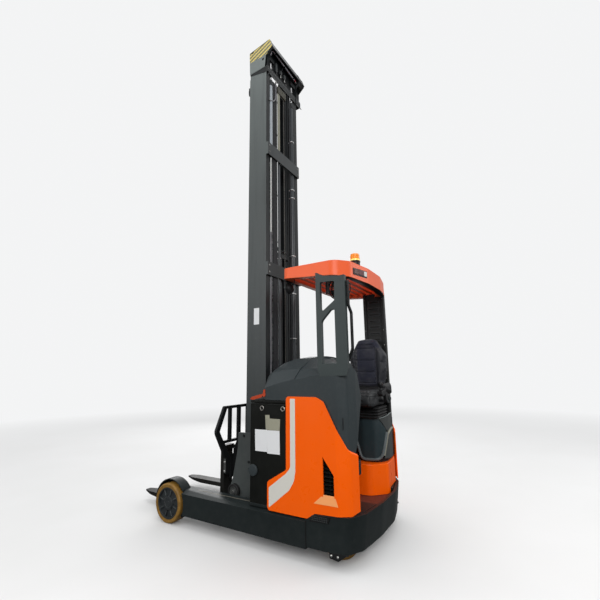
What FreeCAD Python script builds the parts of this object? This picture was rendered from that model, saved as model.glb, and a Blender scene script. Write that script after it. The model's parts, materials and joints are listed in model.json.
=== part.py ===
# Reach truck: a stand-on-its-own warehouse truck whose mast travels forward
# along two support legs.  Frame of the model: +X towards the fork tips,
# +Y to the truck's left, +Z up, floor at Z = 0, millimetres.
import FreeCAD, Part
import os
import math
from FreeCAD import Vector, Placement, Rotation

doc = FreeCAD.newDocument("reach_truck")
sheet = doc.addObject("Spreadsheet::Sheet", "Dims")

# ---------------------------------------------------------------- dimensions
DIMS = [
    ("axle_x", 620.0, "load wheel axle, along X"),
    ("load_r", 175.0, "load wheel radius"),
    ("load_hub_r", 138.0, "load wheel hub radius"),
    ("load_in_y", 522.0, "load wheel, inner face"),
    ("load_out_y", 640.0, "load wheel, outer face"),
    ("stub_r", 30.0, "load wheel stub axle radius"),
    ("run_gap", 0.05, "running clearance on a shaft, radial"),
    ("half_w", 635.0, "half of the chassis width"),
    ("leg_in_y", 470.0, "support leg, inner web face"),
    ("leg_bot", 100.0, "support leg, underside"),
    ("leg_edge_z", 284.0, "support leg, outer top edge"),
    ("leg_top", 304.0, "support leg, top"),
    ("leg_back_x", -900.0, "seam between leg and rear chassis"),
    ("leg_tip_x", 700.0, "front end of the leg's wheel plate"),
    ("ledge_y", 425.0, "running rail for the reach rollers, inner edge"),
    ("ledge_top", 222.0, "running rail, top"),
    ("ledge_t", 20.0, "running rail, thickness"),
    ("arch_r", 202.0, "load wheel arch radius"),
    ("fender_t", 8.0, "load wheel fender thickness"),
    ("panel_y", 622.0, "side panel, outer face"),
    ("panel_t", 10.0, "side panel thickness"),
    ("bat_x0", -735.0, "battery, rear face"),
    ("bat_x1", -346.0, "battery, front face"),
    ("bat_y", 600.0, "battery, half width"),
    ("bat_z0", 326.0, "battery, underside"),
    ("bat_z1", 1120.0, "battery, top"),
    ("lift_hole_r", 22.0, "battery lifting hole radius"),
    ("lift_hole_z", 1082.0, "battery lifting hole height"),
    ("deck_z", 360.0, "rear chassis top deck"),
    ("skirt_z", 115.0, "rear chassis lower edge"),
    ("skirt_t", 22.0, "rear chassis wall thickness"),
    ("col_y", 320.0, "mast outer face"),
    ("col_x0", -299.0, "outer mast, rear face"),
    ("col_x1", -64.0, "outer mast, front face"),
    ("col_t", 22.0, "outer mast web thickness"),
    ("col_flange", 24.0, "outer mast flange thickness"),
    ("col_flange_in", 252.0, "outer mast flange, inner edge"),
    ("col_z0", 250.0, "outer mast, bottom"),
    ("col_z1", 4740.0, "outer mast, top"),
    ("mid_y", 291.0, "middle mast, outer face"),
    ("mid_x0", -246.0, "middle mast, rear face"),
    ("mid_x1", -95.0, "middle mast, front face"),
    ("mid_t", 16.0, "middle mast web and flange thickness"),
    ("mid_flange_in", 206.0, "middle mast flange, inner edge"),
    ("mid_z0", 270.0, "middle mast, bottom"),
    ("mid_z1", 5120.0, "middle mast, top"),
    ("inn_y", 268.0, "inner mast, outer face"),
    ("inn_x0", -224.0, "inner mast, rear face"),
    ("inn_x1", -117.0, "inner mast, front face"),
    ("inn_t", 14.0, "inner mast web and flange thickness"),
    ("inn_flange_in", 200.0, "inner mast flange, inner edge"),
    ("inn_z0", 290.0, "inner mast, bottom"),
    ("inn_z1", 5060.0, "inner mast, top"),
    ("cyl_x", -280.0, "lift cylinders, along X"),
    ("cyl_y", 221.0, "lift cylinders, half spacing"),
    ("cyl_r", 28.0, "lift cylinder tube radius"),
    ("rod_r", 18.0, "lift cylinder rod radius"),
    ("cyl_z1", 4700.0, "lift cylinder tube, top"),
    ("fork_x0", 165.0, "fork shank, rear face"),
    ("fork_t", 45.0, "fork thickness"),
    ("fork_y", 305.0, "fork centre line"),
    ("fork_w", 120.0, "fork width"),
    ("fork_tip", 1360.0, "fork tip"),
    ("fork_top", 122.0, "fork blade, top"),
    ("tilt_z", 440.0, "fork tilt pivot height"),
    ("tilt_x", 46.0, "fork tilt pivot, along X"),
    ("guard_top", 2280.0, "overhead guard, top"),
    ("guard_x0", -1335.0, "overhead guard, rear"),
    ("guard_x1", -680.0, "overhead guard, front"),
    ("guard_y", 600.0, "overhead guard, half width"),
    ("drive_x", -1080.0, "drive wheel steering axis, X"),
    ("drive_y", 400.0, "drive wheel steering axis, Y"),
    ("drive_r", 170.0, "drive wheel radius"),
    ("drive_w", 120.0, "drive wheel width"),
    ("cast_x", -1060.0, "caster swivel axis, X"),
    ("cast_y", -400.0, "caster swivel axis, Y"),
    ("cast_r", 85.0, "caster wheel radius"),
    ("cast_trail", 45.0, "caster trail"),
    ("seat_x", -1060.0, "seat centre line, X"),
]
for row, (alias, value, note) in enumerate(DIMS, start=1):
    sheet.set("A%d" % row, note)
    sheet.set("B%d" % row, "%g" % value)
    sheet.setAlias("B%d" % row, alias)
doc.recompute()
VALUES = {alias: value for alias, value, note in DIMS}


class Q(object):
    """A length that knows both its number and its formula in the sheet."""

    def __init__(self, value, text):
        self.v = float(value)
        self.e = text

    def _two(self, other, sign, flip=False):
        other = lift(other)
        a, b = (other, self) if flip else (self, other)
        if sign == "+":
            value = a.v + b.v
        elif sign == "-":
            value = a.v - b.v
        elif sign == "*":
            value = a.v * b.v
        else:
            value = a.v / b.v
        return Q(value, "(%s %s %s)" % (a.e, sign, b.e))

    def __add__(self, o):
        return self._two(o, "+")

    def __radd__(self, o):
        return self._two(o, "+", True)

    def __sub__(self, o):
        return self._two(o, "-")

    def __rsub__(self, o):
        return self._two(o, "-", True)

    def __mul__(self, o):
        return self._two(o, "*")

    def __rmul__(self, o):
        return self._two(o, "*", True)

    def __truediv__(self, o):
        return self._two(o, "/")

    def __neg__(self):
        return Q(-self.v, "(0 - %s)" % self.e)


def lift(x):
    return x if isinstance(x, Q) else Q(x, "%.9g" % float(x))


def D(alias):
    return Q(VALUES[alias], "Dims.%s" % alias)


def num(x):
    return x.v if isinstance(x, Q) else float(x)


def bind(obj, prop, x):
    if isinstance(x, Q) and "Dims" in x.e:
        obj.setExpression(prop, x.e)


NODES = {}
COUNT = [0]


def fresh(hint):
    COUNT[0] += 1
    return "%s_%03d" % (hint, COUNT[0])


def node(label, obj):
    """Name an object as one sub-part of the truck."""
    obj.Label = label
    NODES[label] = obj
    return obj


def base_at(obj, x, y, z):
    obj.Placement = Placement(Vector(num(x), num(y), num(z)), obj.Placement.Rotation)
    bind(obj, ".Placement.Base.x", lift(x))
    bind(obj, ".Placement.Base.y", lift(y))
    bind(obj, ".Placement.Base.z", lift(z))


def box(x0, x1, y0, y1, z0, z1):
    o = doc.addObject("Part::Box", fresh("Box"))
    for prop, a, b in (("Length", x0, x1), ("Width", y0, y1), ("Height", z0, z1)):
        d = lift(b) - lift(a)
        setattr(o, prop, d.v)
        bind(o, prop, d)
    base_at(o, x0, y0, z0)
    return o


TURN = {
    "X": Rotation(Vector(0, 1, 0), 90),
    "Y": Rotation(Vector(1, 0, 0), -90),
    "Z": Rotation(),
}


def cyl(axis, r, x, y, z, length, angle=None):
    """Cylinder from (x, y, z) along +axis."""
    o = doc.addObject("Part::Cylinder", fresh("Cyl"))
    o.Radius = num(r)
    o.Height = num(length)
    bind(o, "Radius", r)
    bind(o, "Height", length)
    o.Placement = Placement(Vector(), TURN[axis])
    base_at(o, x, y, z)
    return o


def cone(axis, r1, r2, x, y, z, length):
    o = doc.addObject("Part::Cone", fresh("Cone"))
    o.Radius1 = num(r1)
    o.Radius2 = num(r2)
    o.Height = num(length)
    o.Placement = Placement(Vector(), TURN[axis])
    base_at(o, x, y, z)
    return o


def ball(r, x, y, z):
    o = doc.addObject("Part::Sphere", fresh("Ball"))
    o.Radius = num(r)
    bind(o, "Radius", r)
    base_at(o, x, y, z)
    return o


def cut(a, *tools):
    for t in tools:
        c = doc.addObject("Part::Cut", fresh("Cut"))
        c.Base = a
        c.Tool = t
        c.Refine = True
        a = c
    return a


def fuse(*parts):
    if len(parts) == 1:
        return parts[0]
    f = doc.addObject("Part::MultiFuse", fresh("Fuse"))
    f.Shapes = list(parts)
    f.Refine = True
    return f


def common(a, b):
    c = doc.addObject("Part::Common", fresh("Common"))
    c.Base = a
    c.Tool = b
    c.Refine = True
    return c


def group(*parts):
    """Solids that do not touch, kept together as one sub-part."""
    g = doc.addObject("Part::Compound", fresh("Group"))
    g.Links = list(parts)
    return g


def mirror(a):
    """The same piece on the other side of the truck's middle plane."""
    m = doc.addObject("Part::Mirroring", fresh("Mirror"))
    m.Source = a
    m.Normal = Vector(0, 1, 0)
    m.Base = Vector(0, 0, 0)
    return m


PLANES = {"XY": "XY_Plane", "XZ": "XZ_Plane", "YZ": "YZ_Plane"}


def pad(plane, pts, a, b):
    """PartDesign body: a closed outline on an origin plane, padded from
    coordinate a to coordinate b along the plane's axis (Z, Y or X)."""
    body = doc.addObject("PartDesign::Body", fresh("Body"))
    sk = body.newObject("Sketcher::SketchObject", fresh("Sketch"))
    want = PLANES[plane]
    host = [f for f in body.Origin.OriginFeatures if f.Role == want][0]
    sk.AttachmentSupport = [(host, "")]
    sk.MapMode = "FlatFace"
    a, b = lift(a), lift(b)
    # the XZ plane's normal is -Y, so its outline is laid at the far side
    off = -b if plane == "XZ" else a
    sk.AttachmentOffset = Placement(Vector(0, 0, off.v), Rotation())
    bind(sk, ".AttachmentOffset.Base.z", off)
    n = len(pts)
    for i in range(n):
        p, q = pts[i], pts[(i + 1) % n]
        sk.addGeometry(Part.LineSegment(Vector(num(p[0]), num(p[1]), 0),
                                        Vector(num(q[0]), num(q[1]), 0)), False)
    import Sketcher
    for i in range(n):
        sk.addConstraint(Sketcher.Constraint("Coincident", i, 2, (i + 1) % n, 1))
    for i, p in enumerate(pts):
        for kind, val in (("DistanceX", p[0]), ("DistanceY", p[1])):
            c = sk.addConstraint(Sketcher.Constraint(kind, -1, 1, i, 1, num(val)))
            if isinstance(val, Q) and "Dims" in val.e:
                sk.setExpression("Constraints[%d]" % c, val.e)
    pd = body.newObject("PartDesign::Pad", fresh("Pad"))
    pd.Profile = sk
    length = b - a
    pd.Length = length.v
    bind(pd, "Length", length)
    sk.Visibility = False
    body.Tip = pd
    return body


# --- outlines with rounded corners, for plates and lofted shells
def round_wire(pts, place):
    """pts: (u, v, radius) in order; place turns (u, v) into a 3-D point."""
    n = len(pts)
    segs = []
    ends = []
    for i in range(n):
        p0 = Vector(pts[i - 1][0], pts[i - 1][1], 0)
        p1 = Vector(pts[i][0], pts[i][1], 0)
        p2 = Vector(pts[(i + 1) % n][0], pts[(i + 1) % n][1], 0)
        r = pts[i][2] if len(pts[i]) > 2 else 0.0
        if r <= 0:
            ends.append((p1, None, p1))
            continue
        d0 = (p0 - p1).normalize()
        d2 = (p2 - p1).normalize()
        half = d0.getAngle(d2) / 2.0
        t = r / math.tan(half)
        a = p1 + d0 * t
        b = p1 + d2 * t
        mid = (d0 + d2).normalize()
        c = p1 + mid * (r / math.sin(half))
        m = c - mid * r
        ends.append((a, m, b))
    for i in range(n):
        a, m, b = ends[i]
        if m is not None:
            segs.append(Part.Arc(place(a), place(m), place(b)).toShape())
        nxt = ends[(i + 1) % n][0]
        if (nxt - b).Length > 1e-6:
            segs.append(Part.LineSegment(place(b), place(nxt)).toShape())
    return Part.Wire(segs)


def P_XY(z):
    return lambda p: Vector(p.x, p.y, z)


def P_XZ(y):
    return lambda p: Vector(p.x, y, p.y)


def P_YZ(x):
    return lambda p: Vector(x, p.x, p.y)


AXIS = {"XY": (P_XY, Vector(0, 0, 1)), "XZ": (P_XZ, Vector(0, 1, 0)), "YZ": (P_YZ, Vector(1, 0, 0))}


def feature(shape, hint="Shape"):
    o = doc.addObject("Part::Feature", fresh(hint))
    o.Shape = shape
    return o


def plate_shape(plane, pts, a, b, holes=()):
    place, axis = AXIS[plane]
    wires = [round_wire([tuple(num(c) for c in p) for p in pts], place(num(a)))]
    for h in holes:
        wires.append(round_wire([tuple(num(c) for c in p) for p in h], place(num(a))))
    face = Part.Face(wires[0])
    for w in wires[1:]:
        face = face.cut(Part.Face(w))
        face = face.Faces[0] if len(face.Faces) == 1 else face
    return face.extrude(axis * (num(b) - num(a)))


def plate(plane, pts, a, b, holes=()):
    return feature(plate_shape(plane, pts, a, b, holes), "Plate")


def loft_shape(wires, ruled=True):
    return Part.makeLoft(wires, True, ruled)


def tube_shape(points, r, bend):
    """Round bar along straight runs joined by arcs of radius bend."""
    pts = [Vector(*[num(c) for c in p]) for p in points]
    edges = []
    cur = pts[0]
    for i in range(1, len(pts) - 1):
        d0 = (pts[i - 1] - pts[i]).normalize()
        d2 = (pts[i + 1] - pts[i]).normalize()
        half = d0.getAngle(d2) / 2.0
        t = bend / math.tan(half)
        a = pts[i] + d0 * t
        b = pts[i] + d2 * t
        mid = (d0 + d2).normalize()
        m = pts[i] + mid * (bend / math.sin(half) - bend)
        edges.append(Part.LineSegment(cur, a).toShape())
        edges.append(Part.Arc(a, m, b).toShape())
        cur = b
    edges.append(Part.LineSegment(cur, pts[-1]).toShape())
    path = Part.Wire(edges)
    tangent = (pts[1] - pts[0]).normalize()
    prof = Part.Wire([Part.Circle(pts[0], tangent, r).toShape()])
    return path.makePipeShell([prof], True, False)


def tube(points, r, bend):
    return feature(tube_shape(points, r, bend), "Tube")


# ================================================================ chassis
# --- support legs: box section, bevelled top, inner running rail
leg_sec = [(D("leg_in_y"), D("leg_bot")), (D("half_w"), D("leg_bot")),
           (D("half_w"), D("leg_edge_z")), (D("half_w") - 78, D("leg_top")),
           (D("leg_in_y"), D("leg_top"))]
leg_beam = pad("YZ", leg_sec, D("leg_back_x"), D("axle_x") - 150)
leg_arch = cyl("Y", D("arch_r") + D("fender_t"), D("axle_x"), 506, D("load_r"), 160)
leg_beam = cut(leg_beam, leg_arch)
leg_rail = pad("YZ", [(D("ledge_y"), D("ledge_top") - D("ledge_t")),
                      (D("leg_in_y") + 10, D("ledge_top") - D("ledge_t")),
                      (D("leg_in_y") + 10, D("ledge_top")),
                      (D("ledge_y"), D("ledge_top"))], D("leg_back_x") + 160, D("axle_x") + 40)
wheel_plate = plate("XZ", [(D("axle_x") - 170, D("leg_bot"), 0), (D("axle_x") + 60, D("leg_bot"), 30),
                           (D("axle_x") + 80, 190, 30), (D("axle_x") + 40, 285, 40),
                           (D("axle_x") - 60, D("leg_top"), 20), (D("axle_x") - 170, D("leg_top"), 0)],
                    D("leg_in_y"), 505)
stub = cyl("Y", D("stub_r"), D("axle_x"), 495, D("load_r"), D("load_out_y") - 505)
leg_left = node("support_leg_left", fuse(leg_beam, leg_rail, wheel_plate, stub))
node("support_leg_right", mirror(leg_left))

# --- load wheel fenders: arched plates over the wheels
fen = cut(cyl("Y", D("arch_r") + D("fender_t"), D("axle_x"), 506, D("load_r"), 104),
          cyl("Y", D("arch_r"), D("axle_x"), 500, D("load_r"), 120))
fen = cut(fen, box(D("axle_x") - 300, D("axle_x") + 300, 480, 660, -60, 205))
fen = cut(fen, pad("XZ", [(D("axle_x") - 40, D("load_r")), (D("axle_x") - 400, D("load_r") + 340),
                          (D("axle_x") - 400, D("load_r") - 100), (D("axle_x") - 40, D("load_r") - 100)],
                   480, 660))
node("load_wheel_fenders", group(fen, mirror(fen)))

# --- rear chassis: a thick welded skirt that flares to the deck
def skirt_outline(off, grow):
    """Plan outline of the rear chassis; the right rear corner is rounder."""
    left = [(-740.0, 632.0, 0), (-900.0, 635.0, 0), (-1060.0, 632.0, 200), (-1225.0 - grow, 600.0 + 0.2 * grow, 70),
            (-1290.0 - grow, 480.0, 120), (-1322.0 - grow, 190.0, 400)]
    right = [(-1322.0 - grow, -150.0, 400), (-1262.0 - grow, -430.0, 160), (-1160.0 - grow, -600.0 - 0.2 * grow, 120),
             (-1000.0, -632.0, 120), (-900.0, -635.0, 0), (-740.0, -632.0, 0)]
    out = []
    for x, y, r in left + right:
        sgn = 1.0 if y > 0 else -1.0
        out.append((x + (off if x < -1100 else 0.0), y - sgn * off * (1.0 if x > -1280 else 0.9), max(r - off, 5) if r else 0))
    return out


def skirt_loft(off, z0, z1, g0, g1):
    w0 = round_wire(skirt_outline(off, g0), P_XY(z0))
    w1 = round_wire(skirt_outline(off, g1), P_XY(z1))
    return loft_shape([w0, w1])


sk_t = VALUES["skirt_t"]
sk0, sk1 = VALUES["skirt_z"], VALUES["deck_z"]
outer = skirt_loft(0.0, sk0, sk1, 4.0, 34.0)
inner = skirt_loft(sk_t, sk0, sk1, 4.0, 34.0)
skirt = feature(outer.cut(inner), "Skirt")
skirt = cut(skirt, box(D("leg_back_x"), -600, 400, 700, 60, 400), box(D("leg_back_x"), -600, -700, -400, 60, 400),
            box(-760, -600, -500, 500, 60, 400))
# the skirt's top edge follows the lower edge of the side panels
lap = pad("XZ", [(-880, 301), (-905, 301), (-977, 346), (-1259, 359), (-1262, 400), (-880, 400)], 540, 700)
skirt = cut(skirt, lap, mirror(lap))
node("rear_skirt", skirt)
deck_in = Part.Face(round_wire(skirt_outline(sk_t + 4.0, 30.0), P_XY(338.0))).extrude(Vector(0, 0, 20))
deck = feature(deck_in, "Deck")
deck = cut(deck, cyl("Z", 130, D("drive_x"), D("drive_y"), 320, 60),
           feature(plate_shape("XY", [(-640, 245, 0), (-1400, 245, 0), (-1400, -200, 0), (-640, -200, 0)], 320, 380), "FloorRoom"),
           box(-790, -600, -640, 640, 320, 380))
# side walls of the sunken floor, and the plate that carries the caster
deck = fuse(deck, box(-1290, -790, 240, 252, 302, 340), box(-1240, -790, -210, -198, 302, 340),
            cyl("Z", 80, D("cast_x"), D("cast_y"), 330, 10))
deck = cut(deck, cyl("Z", 18.05, D("cast_x"), D("cast_y"), 325, 14))
node("deck_plate", deck)
belly = fuse(box(-880, D("bat_x1"), -D("leg_in_y"), D("leg_in_y"), 104, 120), box(D("bat_x1"), D("bat_x1") + 12, -D("ledge_y") + 1, D("ledge_y") - 1, 104, 310),
             box(D("bat_x0") - 55, D("bat_x1") + 12, -604, 604, D("leg_top"), 326))
node("cross_frame", belly)

# --- wall between battery bay and cab
node("cab_bulkhead", box(-790, -775, -606, 606, 326, 1146))

# --- battery block with four lifting holes
bat = box(D("bat_x0"), D("bat_x1"), -D("bat_y"), D("bat_y"), D("bat_z0"), D("bat_z1"))
for hx in (-468, -682):
    bat = cut(bat, cyl("Y", D("lift_hole_r"), hx, D("bat_y") - 40, D("lift_hole_z"), 60),
              cyl("Y", D("lift_hole_r"), hx, -D("bat_y") - 20, D("lift_hole_z"), 60))
node("battery", bat)


# --- hood over battery and hydraulics, three facets a side
def hood_sec(x, pts, dz=0.0, dy=0.0):
    half = [(y - dy, z - dz) for y, z in pts]
    z0 = half[0][1]
    line = half + [(-y, z) for y, z in reversed(half)]
    return Part.makePolygon([Vector(x, y, z) for y, z in line] + [Vector(x, line[0][0], line[0][1])])


HOOD = [
    (-385.0, [(455, 1150), (455, 1240), (395, 1340), (290, 1402), (150, 1424), (30, 1428)]),
    (-440.0, [(530, 1150), (530, 1246), (450, 1358), (296, 1432), (150, 1458), (30, 1462)]),
    (-507.0, [(604, 1150), (604, 1252), (502, 1374), (300, 1462), (150, 1488), (30, 1492)]),
    (-600.0, [(604, 1150), (604, 1279), (502, 1390), (300, 1488), (150, 1510), (30, 1514)]),
    (-700.0, [(604, 1150), (604, 1302), (502, 1402), (300, 1500), (150, 1520), (30, 1524)]),
    (-800.0, [(604, 1150), (604, 1326), (502, 1408), (300, 1502), (150, 1520), (30, 1524)]),
]


def hood_inner(x, pts):
    half = [(y - 9, z - 9) for y, z in pts]
    half[0] = (half[0][0], 1100)
    line = half + [(-y, z) for y, z in reversed(half)]
    return Part.makePolygon([Vector(x, y, z) for y, z in line] + [Vector(x, line[0][0], line[0][1])])


outer = loft_shape([hood_sec(x, p) for x, p in HOOD])
ins = [(-394.0, HOOD[0][1])] + HOOD[1:-1] + [(-791.0, HOOD[-1][1])]
hood = feature(outer.cut(loft_shape([hood_inner(x, p) for x, p in ins])), "Hood")
node("hood", hood)

# --- orange lip over the front of the battery bay
node("battery_lid", fuse(box(D("bat_x0"), D("bat_x1"), -D("bat_y"), D("bat_y"), D("bat_z1") + 4, 1146)))

# --- side panels: outline in side view, wrapped round the rear corner
wrap_out = [(-540.0, 622.0, 0), (-1175.0, 622.0, 80), (-1262.0, 578.0, 50), (-1291.0, 500.0, 0),
            (-1280.0, 496.0, 0), (-1252.0, 570.0, 40), (-1172.0, 611.0, 70), (-540.0, 611.0, 0)]
wrap = plate_shape("XY", wrap_out, 290, 1200)
side = plate_shape("XZ", [(-545, 303, 22), (-522, 469, 0), (-550, 520, 18), (-723, 621, 18), (-728, 1184, 26),
                          (-1005, 1184, 60), (-1070, 1150, 40), (-1240, 816, 30), (-1322, 720, 30), (-1330, 401, 0),
                          (-1258, 361, 0), (-977, 348, 0), (-907, 303, 0)], 440, 640)
vent = plate_shape("XZ", [(-1052, 752, 0), (-1052, 470, 0), (-1142, 470, 0), (-1142, 628, 0)], 560, 680)
panel = wrap.common(side).cut(vent)
pl = node("side_panel_left", feature(panel, "Panel"))
# the right one is rounder at its rear corner
wrap_r = plate_shape("XY", [(-540.0, -622.0, 0), (-1160.0, -622.0, 90), (-1250.0, -560.0, 40), (-1270.0, -498.0, 0),
                            (-1258.0, -496.0, 0), (-1240.0, -552.0, 40), (-1156.0, -611.0, 80), (-540.0, -611.0, 0)], 290, 1200)
side_r = side.mirror(Vector(0, 0, 0), Vector(0, 1, 0))
vent_r = vent.mirror(Vector(0, 0, 0), Vector(0, 1, 0))
node("side_panel_right", feature(wrap_r.common(side_r).cut(vent_r), "Panel"))

# --- steering console on the left of the cab
con_x = [-800.0, -1062.0, -1180.0, -1284.0]
CON = [
    [(604, 1150), (604, 1316), (500, 1400), (300, 1502), (250, 1500), (250, 1200), (430, 1120), (430, 1000)],
    [(604, 1000), (604, 1364), (500, 1412), (300, 1480), (230, 1440), (260, 1230), (360, 1080), (470, 800)],
    [(604, 900), (604, 1380), (540, 1430), (330, 1440), (290, 1390), (300, 1200), (390, 1060), (500, 760)],
    [(598, 720), (598, 1440), (588, 1500), (538, 1420), (445, 1370), (371, 1180), (411, 1070), (515, 740)],
]
con_w = [Part.makePolygon([Vector(x, y, z) for y, z in sec] + [Vector(x, sec[0][0], sec[0][1])])
         for x, sec in zip(con_x, CON)]
console = loft_shape(con_w)
corner = plate_shape("XY", [(-780, 609, 0), (-1171, 609, 68), (-1250, 568, 38), (-1277, 495, 0), (-1420, 495, 0), (-1420, 720, 0), (-780, 720, 0)], 640, 1192)
console = console.cut(corner)
# arm and column that carry the steering wheel over the driver's knees
console = console.fuse(Part.makeBox(56, 150, 52, Vector(-1028, 138, 1244)))
console = console.fuse(Part.makeCylinder(21, 128, Vector(-1000, 114, 1391), Vector(0, 0.34202, -0.93969)))
node("steering_console", feature(console, "Console"))

# --- cab floor with mat, cover over the drive motor, seat pedestal
node("cab_floor", plate("XY", [(-790, 240, 0), (-1270, 240, 60), (-1318, 150, 40), (-1322, 20, 0), (-1318, -120, 0),
                               (-1290, -198, 0), (-790, -198, 0)], 302, 322))
cov_o = [(-794, 254, 0), (-1232, 254, 40), (-1252, 330, 60), (-1240, 560, 30), (-794, 560, 0)]
cov_i = [(-802, 264, 0), (-1224, 264, 34), (-1242, 332, 54), (-1231, 550, 24), (-802, 550, 0)]
cover = plate_shape("XY", cov_o, 358, 712).cut(plate_shape("XY", cov_i, 350, 700))
node("motor_cover", feature(cover, "Cover"))
ped_o = [(-796, -16, 0), (-1170, -16, 90), (-1296, -150, 60), (-1270, -420, 60), (-1190, -598, 60), (-796, -598, 0)]
ped_i = [(-808, -28, 0), (-1166, -28, 80), (-1283, -153, 50), (-1258, -416, 50), (-1182, -586, 50), (-808, -586, 0)]
ped = plate_shape("XY", ped_o, 322, 572).cut(plate_shape("XY", ped_i, 300, 560))
ped = ped.cut(Part.makeBox(700, 462, 40, Vector(-1400, -660, 320)))
node("seat_pedestal", feature(ped, "Pedestal"))

# --- overhead guard: orange rim, deeper at the rear, with slats across
gx1, gy = VALUES["guard_x1"], VALUES["guard_y"]
rim_o = [(gx1, gy, 60), (-1190.0, gy - 4, 110), (-1284.0, 475.0, 90), (-1326.0, 160.0, 300), (-1318.0, -170.0, 300),
         (-1252.0, -478.0, 140), (-1150.0, -gy, 110), (gx1, -gy, 60)]
rim_i = [(gx1 - 62, gy - 66, 20), (-1160.0, gy - 68, 60), (-1222.0, 430.0, 60), (-1250.0, 160.0, 200), (-1244.0, -170.0, 200),
         (-1188.0, -440.0, 80), (-1120.0, -gy + 66, 60), (gx1 - 62, -gy + 66, 20)]
rim = plate_shape("XY", rim_o, 2138, 2280, [rim_i])
wedge = plate_shape("XZ", [(-600, 2100, 0), (-600, 2196, 0), (gx1, 2190, 0), (-1340, 2140, 0), (-1340, 2100, 0)], -700, 700)
guard = rim.cut(wedge)
for i in range(6):
    guard = guard.fuse(Part.makeBox(40, 2 * gy - 100, 56, Vector(-1180 + 74 * i, -gy + 50, 2206)))
guard = guard.common(plate_shape("XY", rim_o, 2100, 2300))
node("overhead_guard", feature(guard, "Guard"))

# --- guard pillars
pil = plate_shape("XZ", [(-1021, 1366, 0), (-1021, 2190, 0), (-1283, 2190, 0), (-1283, 1502, 0),
                         (-1186, 1502, 0), (-1186, 2120, 20), (-1058, 2120, 20), (-1058, 1366, 0)], 572, 602)
pil = pil.fuse(plate_shape("XZ", [(-1040, 1790, 0), (-1040, 1872, 0), (-1200, 1950, 0), (-1200, 1868, 0)], 574, 600))
node("pillar_left", feature(pil.cut(console).cut(guard), "Pillar"))
pr = plate_shape("XZ", [(-1000, 572, 0), (-1000, 2190, 0), (-1230, 2190, 0), (-1230, 900, 60), (-1196, 572, 0)], -550, -502)
node("pillar_right", feature(pr.cut(guard), "PillarRight"))

# --- seat
sx = VALUES["seat_x"]
node("seat_base", plate("XY", [(sx + 240, -120, 60), (sx - 236, -120, 60), (sx - 205, -494, 40), (sx + 240, -494, 40)], 572, 946))
node("seat_bellows", plate("XY", [(sx + 190, -90, 40), (sx - 190, -90, 40), (sx - 170, -440, 40), (sx + 170, -440, 40)], 950, 1050))
node("seat_cushion", plate("XY", [(sx + 236, 22, 60), (sx - 208, 22, 60), (sx - 196, -350, 40), (sx + 220, -350, 40)], 1053, 1200))
node("seat_backrest", plate("XZ", [(sx - 200, 1206, 40), (sx + 200, 1206, 40), (sx + 205, 1540, 60), (sx + 95, 1712, 40),
                                   (sx - 95, 1712, 40), (sx - 205, 1540, 60)], -480, -362))
node("armrest", plate("YZ", [(-372, 1150, 20), (-130, 1205, 30), (-120, 1262, 30), (-340, 1270, 30), (-372, 1240, 20)], sx - 268, sx - 214))

# --- beacon, work lamp, fan, grab bar
beacon_arm = box(-1226, -1150, 80, 140, 2262, 2282)
node("beacon", fuse(cyl("Z", 46, -1180, 110, 2282, 108), cone("Z", 44, 38, -1180, 110, 2390, 42), ball(38, -1180, 110, 2426), beacon_arm))
node("work_lamp", fuse(ball(52, -672, 480, 2125), box(-680, -666, 466, 494, 2140, 2250)))
grab = tube([(-1262, 556, 1440), (-1308, 556, 1550), (-1309, 556, 1830), (-1296, 576, 1890), (-1296, 576, 2090)], 12, 36)
grab = grab.Shape if hasattr(grab, "Shape") else grab
grab = grab.fuse(Part.makeBox(12, 16, 30, Vector(-1295, 576, 2050))).fuse(Part.makeBox(12, 16, 30, Vector(-1295, 576, 1905)))
node("grab_bar", feature(grab.cut(console), "Bar"))

# --- heavy drive motor inside, one plain block standing on the gearbox
node("drive_motor", cyl("Z", 112, D("drive_x"), D("drive_y"), 382, 300))

# ================================================================ rolling gear
hub_bore = D("stub_r") + D("run_gap")
w_len = D("load_out_y") - D("load_in_y")


def load_wheel(side):
    sgn = 1 if side == "left" else -1
    y0 = D("load_in_y") if sgn > 0 else -D("load_out_y")
    tyre = cut(cyl("Y", D("load_r"), D("axle_x"), y0, D("load_r"), w_len),
               cyl("Y", D("load_hub_r"), D("axle_x"), y0 - 5, D("load_r"), w_len + 10))
    hub = cut(cyl("Y", D("load_hub_r"), D("axle_x"), y0 + 2, D("load_r"), w_len - 4),
              cyl("Y", hub_bore, D("axle_x"), y0 - 5, D("load_r"), w_len + 10))
    node("load_tyre_" + side, tyre)
    node("load_hub_" + side, hub)


load_wheel("left")
load_wheel("right")

# drive unit: fork housing turning about Z, wheel on a cross axle
dx, dy, dr, dw = D("drive_x"), D("drive_y"), D("drive_r"), D("drive_w")
housing = fuse(cyl("Z", 112, dx, dy, 342, 40), box(dx - 60, dx + 60, dy - 88, dy - 68, 110, 350),
               cyl("Y", 22, dx, dy - 70, dr, 130))
node("drive_housing", housing)
dt = cut(cyl("Y", dr, dx, dy - 60, dr, dw), cyl("Y", 120, dx, dy - 65, dr, dw + 10))
node("drive_tyre", dt)
node("drive_hub", cut(cyl("Y", 120, dx, dy - 58, dr, dw - 4), cyl("Y", 22.05, dx, dy - 65, dr, dw + 10)))

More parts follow.
